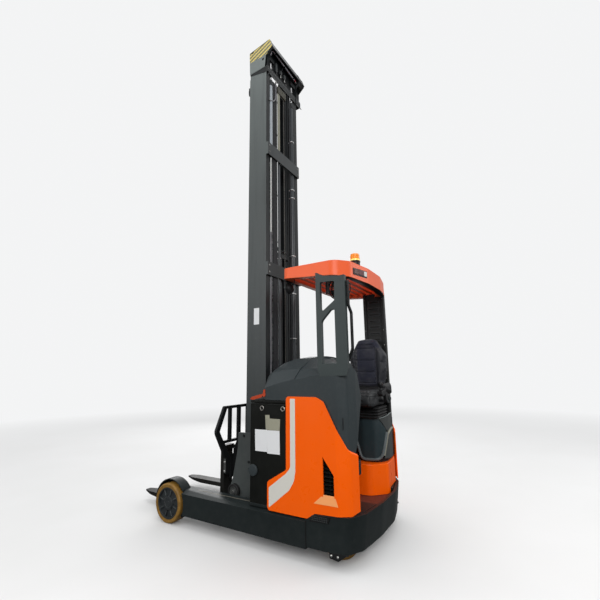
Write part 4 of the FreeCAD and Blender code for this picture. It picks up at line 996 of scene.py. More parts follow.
# round black retainer on the front left corner of the battery bay
kn.lathe((-382, 600.5, 578), (Vector((1, 0, 0)), Vector((0, 0, 1)), Vector((0, 1, 0))),
         [(30, 0), (44, 0), (46, 3), (46, 12), (43, 16), (20, 18.5), (0, 19)], "hood_grey", 40)
kn.box(-362, -342, 596, 612, 566, 596, "hood_grey", 4, 3)
kn.cyl((-338, 603, 583), (-329, 603, 583), 6.5, "dark_gap", 16, 1.5)
kn.done("bay_retainer", "chassis", "black_plastic")

st = Build()
for s in (1,):
    st.prism("XZ", [(-768, 1166, 3), (-815, 1167, 3), (-811, 622, 80), (-797, 545, 110), (-750, 474, 80), (-566, 330, 3), (-557, 324, 3), (-556, 471, 10), (-722, 594, 45), (-764, 640, 50)],
             621.6, 622.7, "stripe_grey", 0.3, 1)
    st.prism("XZ", [(-768, 1166, 3), (-815, 1167, 3), (-811, 622, 80), (-797, 545, 110), (-750, 474, 80), (-566, 330, 3), (-557, 324, 3), (-556, 471, 10), (-722, 594, 45), (-764, 640, 50)],
             -622.7, -621.6, "stripe_grey", 0.3, 1)
st.done("panel_stripes", "chassis", "orange_panel")

# bolted black bracket low on the left skirt, and its fellow on the right
lb = Build()
for s in (1, -1):
    lb.prism("XZ", [(-1084, 118, 2), (-1086, 76, 4), (-1155, 66, 6), (-1190, 92, 4), (-1228, 118, 2)], 606 * s, 618 * s, "black_steel", 2.0)
    lb.box(-1226, -1086, *sorted((592 * s, 607 * s)), 108, 117, "black_steel", 2)
    for x in (-1101, -1152):
        lb.bolt((x, 618 * s, 95), (0, s, 0), 6.5, "bolt_pale", True, 4.5)
lb.done("skirt_bracket", "chassis", "black_steel")

# small cast feet under the legs
lf = Build()
# light beige strip along the inner top edge of each leg
MAT["rail_wear"] = paint("rail_wear", (0.16, 0.14, 0.11), 0.4, vary=0.3, dust=0.4, dust_col=(0.05, 0.048, 0.045), peel=0.2, wear=0.5, wear_col=(0.35, 0.32, 0.28))
for s in (1, -1):
    lf.box(-700, 330, *sorted((529 * s, 535 * s)), 303.0, 305.2, "rail_wear", 0.6, 1)
    lf.box(-906, -900, *sorted((636.5 * s, 639.9 * s)), 112, 292, "dark_gap", 1.2, 1)
for s in (1, -1):
    lf.prism("XZ", [(476, 103.5, 2), (470, 74, 4), (454, 66, 4), (404, 90, 6), (392, 103.5, 2)], 560 * s, 604 * s, "black_steel", 2.5)
    lf.bolt((446, 582 * s, 80), (0, 0, -1), 7, "bolt_steel", True, 5)
lf.done("leg_feet", "chassis", "black_steel")

# ================================================================== guard, pillars, beacon, lamps
def plate(b, plane, outer, holes, lo, hi, m, bev=2.0, segs=2, angle=40.0):
    """Flat plate with rounded windows and bevelled edges."""
    from mathutils.geometry import tessellate_polygon
    loops = [rounded(outer)] + [rounded(h) for h in holes]
    place = {"XY": lambda u, v, h: Vector((u, v, h)), "XZ": lambda u, v, h: Vector((u, h, v)), "YZ": lambda u, v, h: Vector((h, u, v))}[plane]
    tmp = bmesh.new()
    flat = [p for lp in loops for p in lp]
    tris = tessellate_polygon([[Vector((u, v, 0)) for u, v in lp] for lp in loops])
    A = [tmp.verts.new(place(u, v, lo) * MM) for u, v in flat]
    B = [tmp.verts.new(place(u, v, hi) * MM) for u, v in flat]
    for t in tris:
        for S in (A, B):
            try:
                tmp.faces.new([S[i] for i in t])
            except ValueError:
                pass
    k = 0
    for lp in loops:
        n = len(lp)
        for i in range(n):
            j = (i + 1) % n
            tmp.faces.new((A[k + i], A[k + j], B[k + j], B[k + i]))
        k += n
    bmesh.ops.recalc_face_normals(tmp, faces=tmp.faces)
    bmesh.ops.dissolve_limit(tmp, angle_limit=math.radians(0.5), verts=tmp.verts, edges=tmp.edges)
    if bev > 0:
        es = [e for e in tmp.edges if len(e.link_faces) == 2 and e.calc_face_angle(0) > math.radians(angle)]
        bmesh.ops.bevel(tmp, geom=es, offset=min(bev * MM, 0.4 * abs(hi - lo) * MM), segments=segs, profile=0.5, affect="EDGES", clamp_overlap=True)
    b.take(tmp, m)


MAT["pillar_grey"] = paint("pillar_grey", (0.036, 0.047, 0.047), 0.40, vary=0.10, dust=0.08, dust_col=(0.10, 0.105, 0.10), wear=0.3, wear_col=(0.12, 0.12, 0.12), peel=0.16)
pl = Build()
win1 = [(-1061, 2104, 14), (-1192, 2098, 8), (-1188, 1938, 12), (-1084, 1862, 12), (-1061, 1874, 12)]
win2 = [(-1065, 1440, 0), (-1066, 1778, 46), (-1152, 1865, 24), (-1187, 1866, 8), (-1187, 1440, 0)]
top = [(-1021, 2188, 3), (-1036, 2187, 4), (-1064, 2171, 14), (-1102, 2152, 22), (-1154, 2142, 26), (-1236, 2136, 20), (-1283, 2138, 5)]
win2o = [(-1065, 1440, 0)] + win2[1:4] + [(-1187, 1440, 0)]
plate(pl, "XZ", top + [(-1283, 1402, 0), (-1270, 1346, 10), (-1034, 1346, 10), (-1021, 1402, 0)], [win1, win2], 594, 605.2, "pillar_grey", 2.2)
body_top = [(-1021, 2138, 3), (-1283, 2138, 5)]
plate(pl, "XZ", body_top + [(-1283, 1402, 0), (-1021, 1402, 0)], [win1, win2], 572, 597, "pillar_grey", 3.0, 3)
# rounded rear return of the wide bar, and bolts on its inner face
pl.tube([(-1279, 577, 1500), (-1279, 577, 1800), (-1279, 577, 2130)], 6.0, "pillar_grey", 12, smooth=False)
for x, z in ((-1236, 2060), (-1236, 1480), (-1042, 2060)):
    pl.bolt((x, 572.5, z), (0, -1, 0), 7, "black_steel")
pl.done("pillar_left_skin2", "chassis", "hood_grey", replaces=["pillar_left"])

# right pillar: pressed channel with cross ribs, slots and bolts
pr_ = Build()
b0, b1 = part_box("pillar_right")
X0, X1, Y0, Y1, Z0, Z1 = b0.x * 1000, b1.x * 1000, b0.y * 1000, b1.y * 1000, b0.z * 1000, b1.z * 1000
MAT["pillar_dark"] = paint("pillar_dark", (0.012, 0.0125, 0.0125), 0.42, spec=0.2, vary=0.2, dust=0.10, dust_col=(0.06, 0.055, 0.05), peel=0.14, wear=0.3, wear_col=(0.09, 0.09, 0.09))
zz = Z0 + 8
for a, b, d in ((X0, X0 + 34, 0), (X1 - 34, X1, 0)):
    pr_.prism("XY", [(a, Y0, 5), (b, Y0, 5), (b, Y1, 7), (a, Y1, 7)], Z0, Z1, "pillar_dark", 3)
pr_.prism("XY", [(X0 + 20, Y0 + 6, 0), (X1 - 20, Y0 + 6, 0), (X1 - 20, Y1 - 14, 4), (X0 + 20, Y1 - 14, 4)], Z0, Z1, "pillar_dark", 2)
z = Z1 - 110
k = 0
while z > Z0 + 120:
    hgt = 34 if k % 2 == 0 else 26
    pr_.prism("XZ", [(X0 + 50, z, 9), (X1 - 50, z, 9), (X1 - 50, z + hgt, 9), (X0 + 50, z + hgt, 9)], Y1 - 15, Y1 - 8.5, "pillar_rib", 2.2)
    pr_.prism("XZ", [(X0 + 62, z + 9, 5), (X1 - 62, z + 9, 5), (X1 - 62, z + hgt - 9, 5), (X0 + 62, z + hgt - 9, 5)], Y1 - 9, Y1 - 8.2, "dark_gap", 0.3, 1)
    z -= 66
    k += 1
for z in (Z1 - 60, 1795, 1640, 1300, 760):
    for x in (X0 + 17, X1 - 17):
        pr_.cyl((x, Y1 - 3, z), (x, Y1 + 0.3, z), 10.5, "dark_gap", 20, 0.4)
        pr_.bolt((x, Y1 - 1.5, z), (0, 1, 0), 5.5, "bolt_steel", False, 2.5)
pr_.done("pillar_right_skin2", "chassis", "hood_grey", replaces=["pillar_right"])

# beacon: black foot and collar, glowing band, ribbed amber dome
bc = Build()
bx, by = -1180.0, 110.0
bc.lathe((bx, by, 0), "Z", [(0, 2280.5), (56, 2280.5), (58, 2284), (58, 2296), (54, 2300), (48, 2303), (46, 2308), (46, 2372), (49, 2376), (49, 2386), (47, 2389), (0, 2389)], "black_plastic", 48)
bc.lathe((bx, by, 0), "Z", [(0, 2389), (45.5, 2389), (46, 2391), (46, 2403), (45, 2405), (0, 2405)], "beacon_band", 48)
prof = [(0, 2405), (45, 2405), (45.5, 2407)]
for k in range(5):
    z0 = 2409 + k * 8.2
    prof += [(45.5 - k * 0.6, z0), (44.2 - k * 0.6, z0 + 3.4), (44.2 - k * 0.6, z0 + 4.8), (45.2 - k * 0.6, z0 + 8.0)]
prof += [(41, 2452), (37, 2457), (28, 2460.5), (14, 2462.5), (0, 2463)]
bc.lathe((bx, by, 0), "Z", prof, "amber_lens", 56)
bc.box(-1226, -1150, 78, 142, 2268, 2281, "black_steel", 3)
for a in (45, 135, 225, 315):
    bc.bolt((bx + 50 * math.cos(math.radians(a)), by + 50 * math.sin(math.radians(a)), 2297), (0, 0, 1), 4, "bolt_steel", False)
bc.done("beacon_skin", "chassis", "amber_lens", replaces=["beacon"])

# work lamp under the front corner: bowl, lens forwards, U bracket
wl = Build()
wc = Vector((-672, 480, 2121))
ax = Vector((0.93, 0.06, -0.36)).normalized()
uu = ax.orthogonal().normalized()
vv = ax.cross(uu)
prof = [(0, -50), (16, -48), (30, -42), (42, -31), (49, -16), (51, 0), (51, 10), (49, 13), (46, 13)]
wl.lathe(wc, (uu, vv, ax), prof, "black_plastic", 48, caps=False)
wl.lathe(wc, (uu, vv, ax), [(46, 13), (44, 8), (0, 9)], "lamp_glass", 48, caps=False)
for k in range(9):
    th = math.radians(-50 + k * 12.5)
    wl.tube([wc + (uu * math.cos(a) + vv * math.sin(a)) * (51.0 * math.sqrt(max(0.0, 1 - (0.09 * k + 0.12) ** 2))) - ax * 50 * (0.09 * k + 0.12)
             for a in [i * math.pi / 12 for i in range(24)]], 1.6, "black_plastic", 6, closed=True, sub=1)
wl.tube([(-672, 424, 2140), (-672, 424, 2176), (-672, 436, 2190), (-672, 524, 2190), (-672, 535, 2176), (-672, 535, 2140)], 4.5, "black_steel", 10, sub=3)
for s in (-1, 1):
    wl.box(-684, -660, 480 + s * 55 - 3, 480 + s * 55 + 3, 2106, 2178, "black_steel", 2)
    wl.bolt((-672, 480 + s * 58, 2121), (0, s, 0), 8, "hub_dark")
wl.box(-690, -654, 428, 532, 2184, 2191, "black_steel", 2)
wl.cyl((-672, 480, 2190), (-672, 480, 2204), 11, "bolt_pale", 6, 1.5)
wl.cyl((-672, 480, 2200), (-672, 480, 2246), 7, "bolt_pale", 16, 1)
wl.tube([wc - ax * 46 + Vector((0, 10, 6)), (-735, 494, 2150), (-752, 500, 2190), (-748, 505, 2222)], 3.6, "black_plastic", 8)
wl.done("work_lamp_skin", "chassis", "black_plastic", replaces=["work_lamp"])
MAT["lamp_glass"].name

# tail lamp cluster on the rear of the guard
tl = Build()
o_ = Vector((-1289.4, 436, 0))
d_ = (Vector((-1321.0, 198, 0)) - o_)
Ld = d_.length
d_.normalize()
n_ = Vector((d_.y, -d_.x, 0)).normalized()
if n_.x > 0:
    n_ = -n_
mw = Matrix((d_, -n_, Vector((0, 0, 1)))).transposed().to_4x4()
mw.translation = o_ * MM


def tprism(b, pts, a, c, m, bev, segs=2):
    b.prism("XZ", pts, -a, -c, m, bev, segs, mw=mw)


tprism(tl, [(0, 2174, 10), (Ld, 2184, 10), (Ld + 2, 2246, 10), (0, 2232, 10)], -4, 4.5, "black_plastic", 2.5, 3)
tprism(tl, [(12, 2184, 6), (92, 2187.5, 6), (92, 2229, 6), (12, 2223, 6)], 3.5, 7.5, "amber_dull", 2.5, 3)
tprism(tl, [(97, 2187.5, 6), (176, 2191, 6), (176, 2234.5, 6), (97, 2229.5, 6)], 3.5, 7.5, "red_lens", 2.5, 3)
tprism(tl, [(181, 2191, 6), (Ld - 10, 2193, 6), (Ld - 9, 2237, 6), (181, 2235, 6)], 3.5, 7.5, "lens_white", 2.5, 3)
for a in range(14, 175, 8):
    if 90 < a < 98:
        continue
    tprism(tl, [(a + 2, 2190, 0), (a + 3.2, 2190, 0), (a + 3.2, 2222 + a * 0.05, 0), (a + 2, 2222 + a * 0.05, 0)], 7.2, 8.2, "red_lens", 0.3, 1)
# mirror placement for a cluster at the right, which is not built
mw2 = Matrix.Diagonal((1, -1, 1, 1)) @ mw
sav = mw
mw = mw2
o2 = Vector((-1289.4, -436, 0))
tl.done("tail_lamp_left", "chassis", "black_plastic")
mw = sav

# fan with wire cage behind the left pillar, on a black C bracket under the roof
fn = Build()
fc_ = Vector((-1160, 448, 2068))
fa = Vector((0.15, 0.985, -0.05)).normalized()
fu = fa.orthogonal().normalized()
fv = fa.cross(fu)
for rr, hh in ((96, 12), (96, -30), (84, 20), (66, 25), (48, 28), (30, 30)):
    fn.tube([fc_ + fa * hh + (fu * math.cos(a) + fv * math.sin(a)) * rr for a in [i * math.pi / 16 for i in range(32)]], 2.2 if rr < 96 else 4.0, "black_plastic", 8, closed=True, sub=1)
for i in range(14):
    a = 2 * math.pi * i / 14
    rd = fu * math.cos(a) + fv * math.sin(a)
    fn.tube([fc_ + rd * 20 + fa * 31, fc_ + rd * 60 + fa * 27, fc_ + rd * 90 + fa * 18, fc_ + rd * 97, fc_ + rd * 97 - fa * 30], 1.9, "black_plastic", 6, sub=3)
fn.lathe(fc_, (fu, fv, fa), [(0, 33), (20, 32), (24, 28), (24, 10), (34, 6), (36, -36), (28, -46), (0, -48)], "black_plastic", 32, caps=False)
for i in range(5):
    a = 2 * math.pi * i / 5
    rd = fu * math.cos(a) + fv * math.sin(a)
    td = -fu * math.sin(a) + fv * math.cos(a)
    q = [fc_ + rd * 22 - td * 10 + fa * 4, fc_ + rd * 84 - td * 26 + fa * 10, fc_ + rd * 88 + td * 12 - fa * 2, fc_ + rd * 60 + td * 30 - fa * 12, fc_ + rd * 22 + td * 12 - fa * 8]
    tmp = bmesh.new()
    vs = [tmp.verts.new(p * MM) for p in q]
    tmp.faces.new(vs)
    r_ = bmesh.ops.extrude_face_region(tmp, geom=list(tmp.faces))
    bmesh.ops.translate(tmp, verts=[v for v in r_["geom"] if isinstance(v, bmesh.types.BMVert)], vec=fa * -0.002)
    bmesh.ops.recalc_face_normals(tmp, faces=tmp.faces)
    fn.take(tmp, "dark_gap")
fn.box(-1092, -1040, 440, 456, 2124, 2132, "black_steel", 2)
fn.box(-1048, -1038, 440, 456, 2030, 2206, "black_steel", 2)
fn.box(-1092, -1040, 440, 456, 2028, 2036, "black_steel", 2)
fn.box(-1072, -1052, 442, 454, 2040, 2122, "black_plastic", 3)
fn.cyl((-1140, 430, 2100), (-1120, 430, 2206), 8, "black_steel", 14, 1)
fn.done("cab_fan", "chassis", "black_plastic")

# bolts and a small end cap on the grab bar
gb = Build()
for z in (1905, 2050):
    gb.bolt((-1289, 585, z + 15), (0, 1, 0), 4.5, "bolt_steel", False)
gb.lathe((-1296, 576, 0), "Z", [(0, 2092.5), (9, 2092.5), (12.6, 2089), (12.8, 2078), (0, 2078)], "black_plastic", 20, caps=False)
gb.done("grab_bar_fittings", "chassis", "black_steel")

# ================================================================== mast
# painted shade: outer side faces keep the mast paint, every other face gets the darker painted-shade copy; rear faces
# of the cross beams are lighter above 3000 mm and in the deepest painted shade below
def mast_side(c, n):
    if abs(n.y) > 0.6 and abs(c.y) > 318:
        return 0
    if c.x < -303 and n.x < -0.5:
        return 2 if c.z > 3000 else 3
    return 1


# painted shade for the middle mast: hazard plates keep their bars, the rear of the head and a band at its foot get the
# deepest painted shade, all other faces the darker painted-shade copy
def mid_side(c, n):
    if c.z > 4800 and abs(c.y) > 318.5 and abs(n.y) > 0.9:
        return 3
    if c.z > 5000 and c.x < -344 and n.x < -0.3:
        return 4
    if c.z > 4745 and c.x < -299 and c.z < 4835 and n.x < -0.5:
        return 4
    return 1


# mast paint darkened as painted shade for faces inside and behind the mast, also used as a plain dark paint on small
# parts
MAT["mast_dark"] = paint("mast_dark", (0.0085, 0.0105, 0.0115), 0.36, spec=0.22, vary=0.25, dust=0.12, dust_col=(0.05, 0.05, 0.048), wear=0.3, wear_col=(0.08, 0.08, 0.08), peel=0.14, streak=0.1)
MAT["mast_beam"] = paint("mast_beam", (0.036, 0.041, 0.043), 0.40, vary=0.15, dust=0.15, dust_col=(0.09, 0.09, 0.088), wear=0.35, wear_col=(0.12, 0.12, 0.12), peel=0.14, streak=0.15)
# light grey for painted highlights on edges
MAT["edge_painted_highlight"] = paint("edge_painted_highlight", (0.11, 0.12, 0.12), 0.4, vary=0.15, dust=0.15, peel=0.1)
MAT["pipe_grey"] = paint("pipe_grey", (0.20, 0.195, 0.215), 0.36, vary=0.1, dust=0.15, dust_col=(0.2, 0.19, 0.18), peel=0.08)
MAT["olive"] = paint("olive", (0.050, 0.048, 0.036), 0.5, vary=0.2, dust=0.2, dust_col=(0.12, 0.11, 0.09), peel=0.2)
# deepest painted shade, for the lower cross beams and the rear and foot of the head
MAT["mast_deep_painted_shade"] = paint("mast_deep_painted_shade", (0.017, 0.019, 0.020), 0.40, spec=0.2, vary=0.15, dust=0.12, dust_col=(0.06, 0.06, 0.06), wear=0.35, wear_col=(0.12, 0.12, 0.12), peel=0.14, streak=0.1)
soften("outer_mast", [(2.5, 2, 28, None)], paint_fn=mast_side, extra=["mast_dark", "mast_beam", "mast_deep_painted_shade"])
soften("middle_mast", [(2.5, 2, 28, None)], paint_fn=mid_side, extra=["mast_dark", "mast_beam", "hazard", "mast_deep_painted_shade"])
# the inner mast is all in painted shade
soften("inner_mast", [(2.5, 2, 28, None)], mat="mast_dark")

# lit and shaded copies of one cylinder paint: left cylinder lit, right cylinder in painted shade
def cyl_side(c, n):
    return 1 if c.y > 0 else 2


# painted highlight and painted shade copies of the lift cylinder paint
MAT["cyl_painted_highlight"] = paint("cyl_painted_highlight", (0.30, 0.33, 0.36), 0.28, vary=0.12, dust=0.15, dust_col=(0.15, 0.15, 0.15), peel=0.06, streak=0.15, spec=0.5)
MAT["cyl_painted_shade"] = paint("cyl_painted_shade", (0.028, 0.033, 0.037), 0.30, vary=0.15, dust=0.06, dust_col=(0.07, 0.07, 0.07), peel=0.08, spec=0.4)

rg = Build()     # fixed to the outer mast
# welded seam lines, end plates and bolts on the cross beams
for z0, z1 in ((3705, 3850), (2350, 2490), (1010, 1150)):
    zm = 0.5 * (z0 + z1)
    for s in (1, -1):
        for zz in (zm - 36, zm + 36):
            rg.bolt((-325.0, 292 * s, zz), (-1, 0, 0), 7.5, "bolt_steel", True, 3.0)
        rg.tube([(-311, 268 * s, z0 + 1), (-300, 268 * s, z0 + 1)], 2.2, "mast_beam", 6, smooth=False)
    rg.box(-324.4, -323.0, -250, 250, z1 - 8, z1 - 3, "mast_dark", 0.5, 1)
    rg.box(-311, -302, 66, 108, z0 + 20, z1 - 20, "mast_dark", 2)
    rg.box(-311, -302, -176, -134, z0 + 20, z1 - 20, "mast_dark", 2)
# blank white sticker on the left column, small weld marks and plugs on the web
rg.prism("XZ", [(-216, 1852, 2), (-150, 1852, 2), (-150, 2018, 2), (-216, 2018, 2)], 320.1, 320.8, "plate_white", 0.2, 1)
for x, z in ((-176, 4220), (-176, 3010), (-176, 2510), (-240, 1660)):
    rg.tube([(x, 320.2, z - 34), (x - 3, 320.5, z), (x, 320.2, z + 34)], 1.5, "mast_grey", 6)
for s in (1, -1):
    for z in (4640, 4560, 400, 700):
        rg.cyl((-66, 300 * s, z), (-62.5, 300 * s, z), 9, "mast_dark", 6, 1.2)
    # shim block on the front of the column near the top
    rg.box(-66, -44, *sorted((300 * s, 318 * s)), 4536, 4640, "mast_dark", 6, 3)
    rg.box(-64, -40, *sorted((303 * s, 315 * s)), 4560, 4612, "black_plastic", 3, 2)
# hoses, a pale strip standing for the left cylinder's highlight, and the khaki guide along the back of the mast, its
# lower part in painted shade
for y in (126, 146, 166, 186):
    rg.tube([(-299.5, y, 1180), (-299.5, y, 2400), (-299.5, y, 3700), (-299.5, y, 4700)], 8.8, "mast_hose", 14, smooth=False)
rg.tube([(-299.5, -155, 1180), (-299.5, -155, 2400), (-299.5, -155, 3700), (-299.5, -155, 4690)], 8.6, "mast_hose", 14, smooth=False)
rg.prism("XY", [(-307.5, 60, 6.5), (-292.5, 60, 6.5), (-292.5, 99, 6.5), (-307.5, 99, 6.5)], 3800, 4668, "khaki_tube", 0.8)
# lower part of the khaki guide in painted shade
rg.prism("XY", [(-307.5, 60, 6.5), (-292.5, 60, 6.5), (-292.5, 99, 6.5), (-307.5, 99, 6.5)], 1170, 3800, "cyl_painted_shade", 0.8)
for z in (1500, 2100, 2760, 3300, 4050, 4480):
    for y in (126, 146, 166, 186, -155):
        rg.lathe((-299.5, y, z), "Z", [(8.8, -9), (10.4, -8), (10.4, 8), (8.8, 9)], "black_plastic", 16, caps=False)
    rg.box(-301, -291.5, 105, 196, z - 5, z + 5, "black_plastic", 1.5)
rg.box(-317, -291.5, -56, 110, 4612, 4702, "olive", 6, 3)
rg.box(-319, -310, -40, 20, 4630, 4684, "olive", 3, 2)
for y in (-42, 96):
    rg.bolt((-317, y, 4640), (-1, 0, 0), 6, "bolt_steel", False)
# pale hose loop at the top
rg.tube([(-311, 150, 4738), (-312, 152, 4640), (-312, 154, 4540), (-311, 168, 4470), (-309, 205, 4432), (-306, 240, 4418), (-301, 262, 4412)], 4.6, "pipe_grey", 12)
rg.lathe((-311, 150, 0), "Z", [(5, 4700), (9, 4702), (9, 4722), (7, 4726), (7, 4742)], "bolt_steel", 12, caps=False)
rg.box(-309, -299, 252, 270, 4404, 4420, "bolt_steel", 2)
# white ties on the right cylinder, with the small tails
for z in (4150, 3512, 3408, 2688, 2245, 1740):
    for y in (-221,):
        rg.tube([(-280 + 29.4 * math.cos(a), y + 29.4 * math.sin(a), z + 2.2 * math.sin(a)) for a in [i * math.pi / 14 for i in range(28)]], 4.2, "tie_white", 8, closed=True, sub=1)
        rg.box(-313, -305, y - 6, y + 2, z - 4, z + 4, "tie_white", 1)
# painted highlight: thin strip along the left cylinder, grey low down and pale above 2830 mm
rg.tube([(-306, 243, 1180), (-306, 243, 2000), (-306, 243, 2835)], 4.6, "pipe_grey", 12, smooth=False)
rg.tube([(-306, 243, 2830), (-306, 243, 3200), (-306, 243, 3690)], 8.0, "pale_pipe", 14, smooth=False)
# cylinder heads and feet, gland nuts, ports
for s in (1, -1):
    c = (-280, 221 * s, 0)
    rg.lathe(c, "Z", [(28, 4626), (32, 4630), (32, 4690), (30, 4698), (24, 4700), (19, 4700)], "cylinder_khaki", 40, caps=False)
    rg.lathe(c, "Z", [(28.2, 332), (33, 334), (33, 372), (28.2, 376)], "cylinder_khaki", 40, caps=False)
    for z in (1300, 2900):
        rg.lathe(c, "Z", [(28.1, z - 1.5), (28.9, z), (28.1, z + 1.5)], "cylinder_khaki", 40, caps=False)
    rg.cyl((-312, 221 * s, 420), (-322, 221 * s, 420), 9, "bolt_steel", 6, 1.5)
rg.done("mast_rigging", "reach_unit", "mast_grey")

# chain down the back: leaf chain with pins
def leaf_chain(b, x, y, z0, z1, pitch=19.0, w=12.0, axis="Y", m="chain_steel"):
    n = int((z1 - z0) / pitch)
    for i in range(n):
        z = z0 + i * pitch
        for off in ((-w * 0.36, w * 0.36) if i % 2 == 0 else (-w * 0.10, w * 0.10)):
            o8 = [(-4.2, z - 2), (-3.0, z - 5), (3.0, z - 5), (4.2, z - 2), (3.0, z + pitch * 0.5), (4.2, z + pitch + 2), (3.0, z + pitch + 5), (-3.0, z + pitch + 5), (-4.2, z + pitch + 2), (-3.0, z + pitch * 0.5)]
            if axis == "Y":
                b.prism("XZ", [(x + u, v) for u, v in o8], y + off - 1.3, y + off + 1.3, m, 0)
            else:
                b.prism("YZ", [(y + u, v) for u, v in o8], x + off - 1.3, x + off + 1.3, m, 0)
        if axis == "Y":
            b.lathe((x, y, z), "Y", [(2.3, -w * 0.5), (2.3, w * 0.5)], m, 8)
        else:
            b.lathe((x, y, z), "X", [(2.3, -w * 0.5), (2.3, w * 0.5)], m, 8)


ch = Build()
leaf_chain(ch, -300, -24, 1180, 4690)
ch.done("mast_chain_rear", "reach_unit", "black_steel", weighted=False)

MAT["head_black"] = paint("head_black", (0.0030, 0.0036, 0.0042), 0.42, spec=0.12, vary=0.2, dust=0.05, dust_col=(0.03, 0.03, 0.03), peel=0.12)
# fittings that travel with the middle stage: head box, pipe, holes, brackets
hd = Build()
hd.box(-294, -287, -289, 289, 4832, 5122, "head_black", 2)
hd.box(-322, -294, 287.5, 289.5, 4832, 5010, "mast_dark", 0.6, 1)
hd.box(-322, -294, -289.5, -287.5, 4832, 5010, "mast_dark", 0.6, 1)
for s in (1, -1):
    y0, y1 = sorted((287 * s, 318.5 * s))
    # dark wedge at the foot of the head side plate: painted shade under the head
    hd.prism("XZ", [(-318, 4746, 4), (-268, 4746, 4), (-66, 4786, 6), (-66, 4812, 2), (-276, 4822, 2), (-318, 4828, 4)], y0, y1, "mast_dark", 2.5)
    g0, g1 = sorted((287 * s, 317.0 * s))
    hd.prism("XZ", [(-262, 4743, 2), (-68, 4743, 3), (-68, 4790, 2), (-262, 4752, 2)], g0, g1, "mast_grey", 1.5)
    g2, g3 = sorted((319 * s, 320.3 * s))
    hd.prism("XZ", [(-62, 4806, 1), (-62, 4826, 1), (-276, 4826, 1), (-276, 4820, 1)], g2, g3, "mast_grey", 0.4, 1)
    n = Vector((0, s, 0))
    for x, z in ((-100, 5113), (-251, 4934)):
        zc = 5102 if x == -100 else z
        hd.lathe((x, 320.2 * s, zc), (Vector((1, 0, 0)), Vector((0, 0, 1)), n), [(13.5, -1), (14.2, 0.5), (12.8, 1.1), (0, 1.1)], "dark_gap", 28, caps=False)
    hd.tube([(-60, 320.3 * s, 5105), (-330, 320.3 * s, 5150)], 1.6, "mast_beam", 6, smooth=False)
# painted highlight: light strip along the bottom of the rear plate, round ends
hd.tube([(-310, 296, 4806), (-310, -404, 4806)], 3.0, "edge_painted_highlight", 8, smooth=False)
# plates closing the head on the right-hand side
hd.box(-294, -287, -404, -288, 4832, 5100, "head_black", 2)
hd.prism("XZ", [(-344, 5138, 4), (-376, 5056, 6), (-370, 5028, 8), (-270, 4938, 20), (-262, 4900, 10), (-306, 4828, 10), (-306, 4756, 10), (-286, 4750, 4), (-240, 4750, 4), (-240, 5110, 4)], -404, -396, "head_black", 2, 2)
# painted highlight along the lower edge, carried round the right-hand end
hd.tube([(-309, 300, 4749.5), (-309, -376, 4749.5), (-309, -398, 4760), (-309, -403, 4778)], 3.6, "edge_painted_highlight", 10)
# pale pipe under the top beam, with clips and a red cap
pp_ = [(-335, 222, 5066), (-335, 100, 5056), (-335, -120, 5036), (-335, -222, 5026)]
hd.tube(pp_, 8.5, "pipe_grey", 16, smooth=False)
for y, z in ((190, 5066), (0, 5047), (-190, 5029)):
    hd.box(-345, -322, y - 7, y + 7, z - 11, z + 11, "mast_dark", 2)
hd.cyl((-338, -222, 5026), (-338, -246, 5018), 8.5, "cap_red", 20, 2)
hd.cyl((-338, -246, 5016), (-338, -262, 5010), 6, "bolt_steel", 6, 1)
hd.tube([(-335, 222, 5066), (-334, 240, 5063), (-328, 252, 5050), (-320, 256, 5030), (-314, 256, 5000)], 8.0, "pipe_grey", 12)
# chain anchors and hose brackets on the head plate
for y in (40, -40):
    hd.box(-318, -294, y - 16, y + 16, 4906, 4960, "mast_beam", 3)
    hd.cyl((-306, y, 4880), (-306, y, 4912), 6.5, "bolt_steel", 12, 1)
    hd.cyl((-306, y, 4862), (-306, y, 4880), 10, "bolt_steel", 6, 1)
hd.box(-316, -294, 118, 150, 4876, 4990, "mast_beam", 4)
hd.tube([(-306, 62, 4905), (-312, 50, 4930), (-312, 20, 4990), (-306, -4, 5044), (-300, -30, 5060)], 6, "mast_hose", 10)
hd.tube([(-306, 134, 4876), (-308, 134, 4850), (-306, 134, 4836)], 7, "mast_hose", 10)
for y in (-90, -200, 210):
    hd.bolt((-294, y, 4870), (-1, 0, 0), 7, "bolt_steel")
    hd.bolt((-294, y, 5090), (-1, 0, 0), 7, "bolt_steel")
hd.done("mast_head_fittings", "middle_stage", "mast_grey")

# ================================================================== seat
def evaluated_copy(o):
    dg = bpy.context.evaluated_depsgraph_get()
    return bpy.data.meshes.new_from_object(o.evaluated_get(dg), preserve_all_data_layers=False, depsgraph=dg)


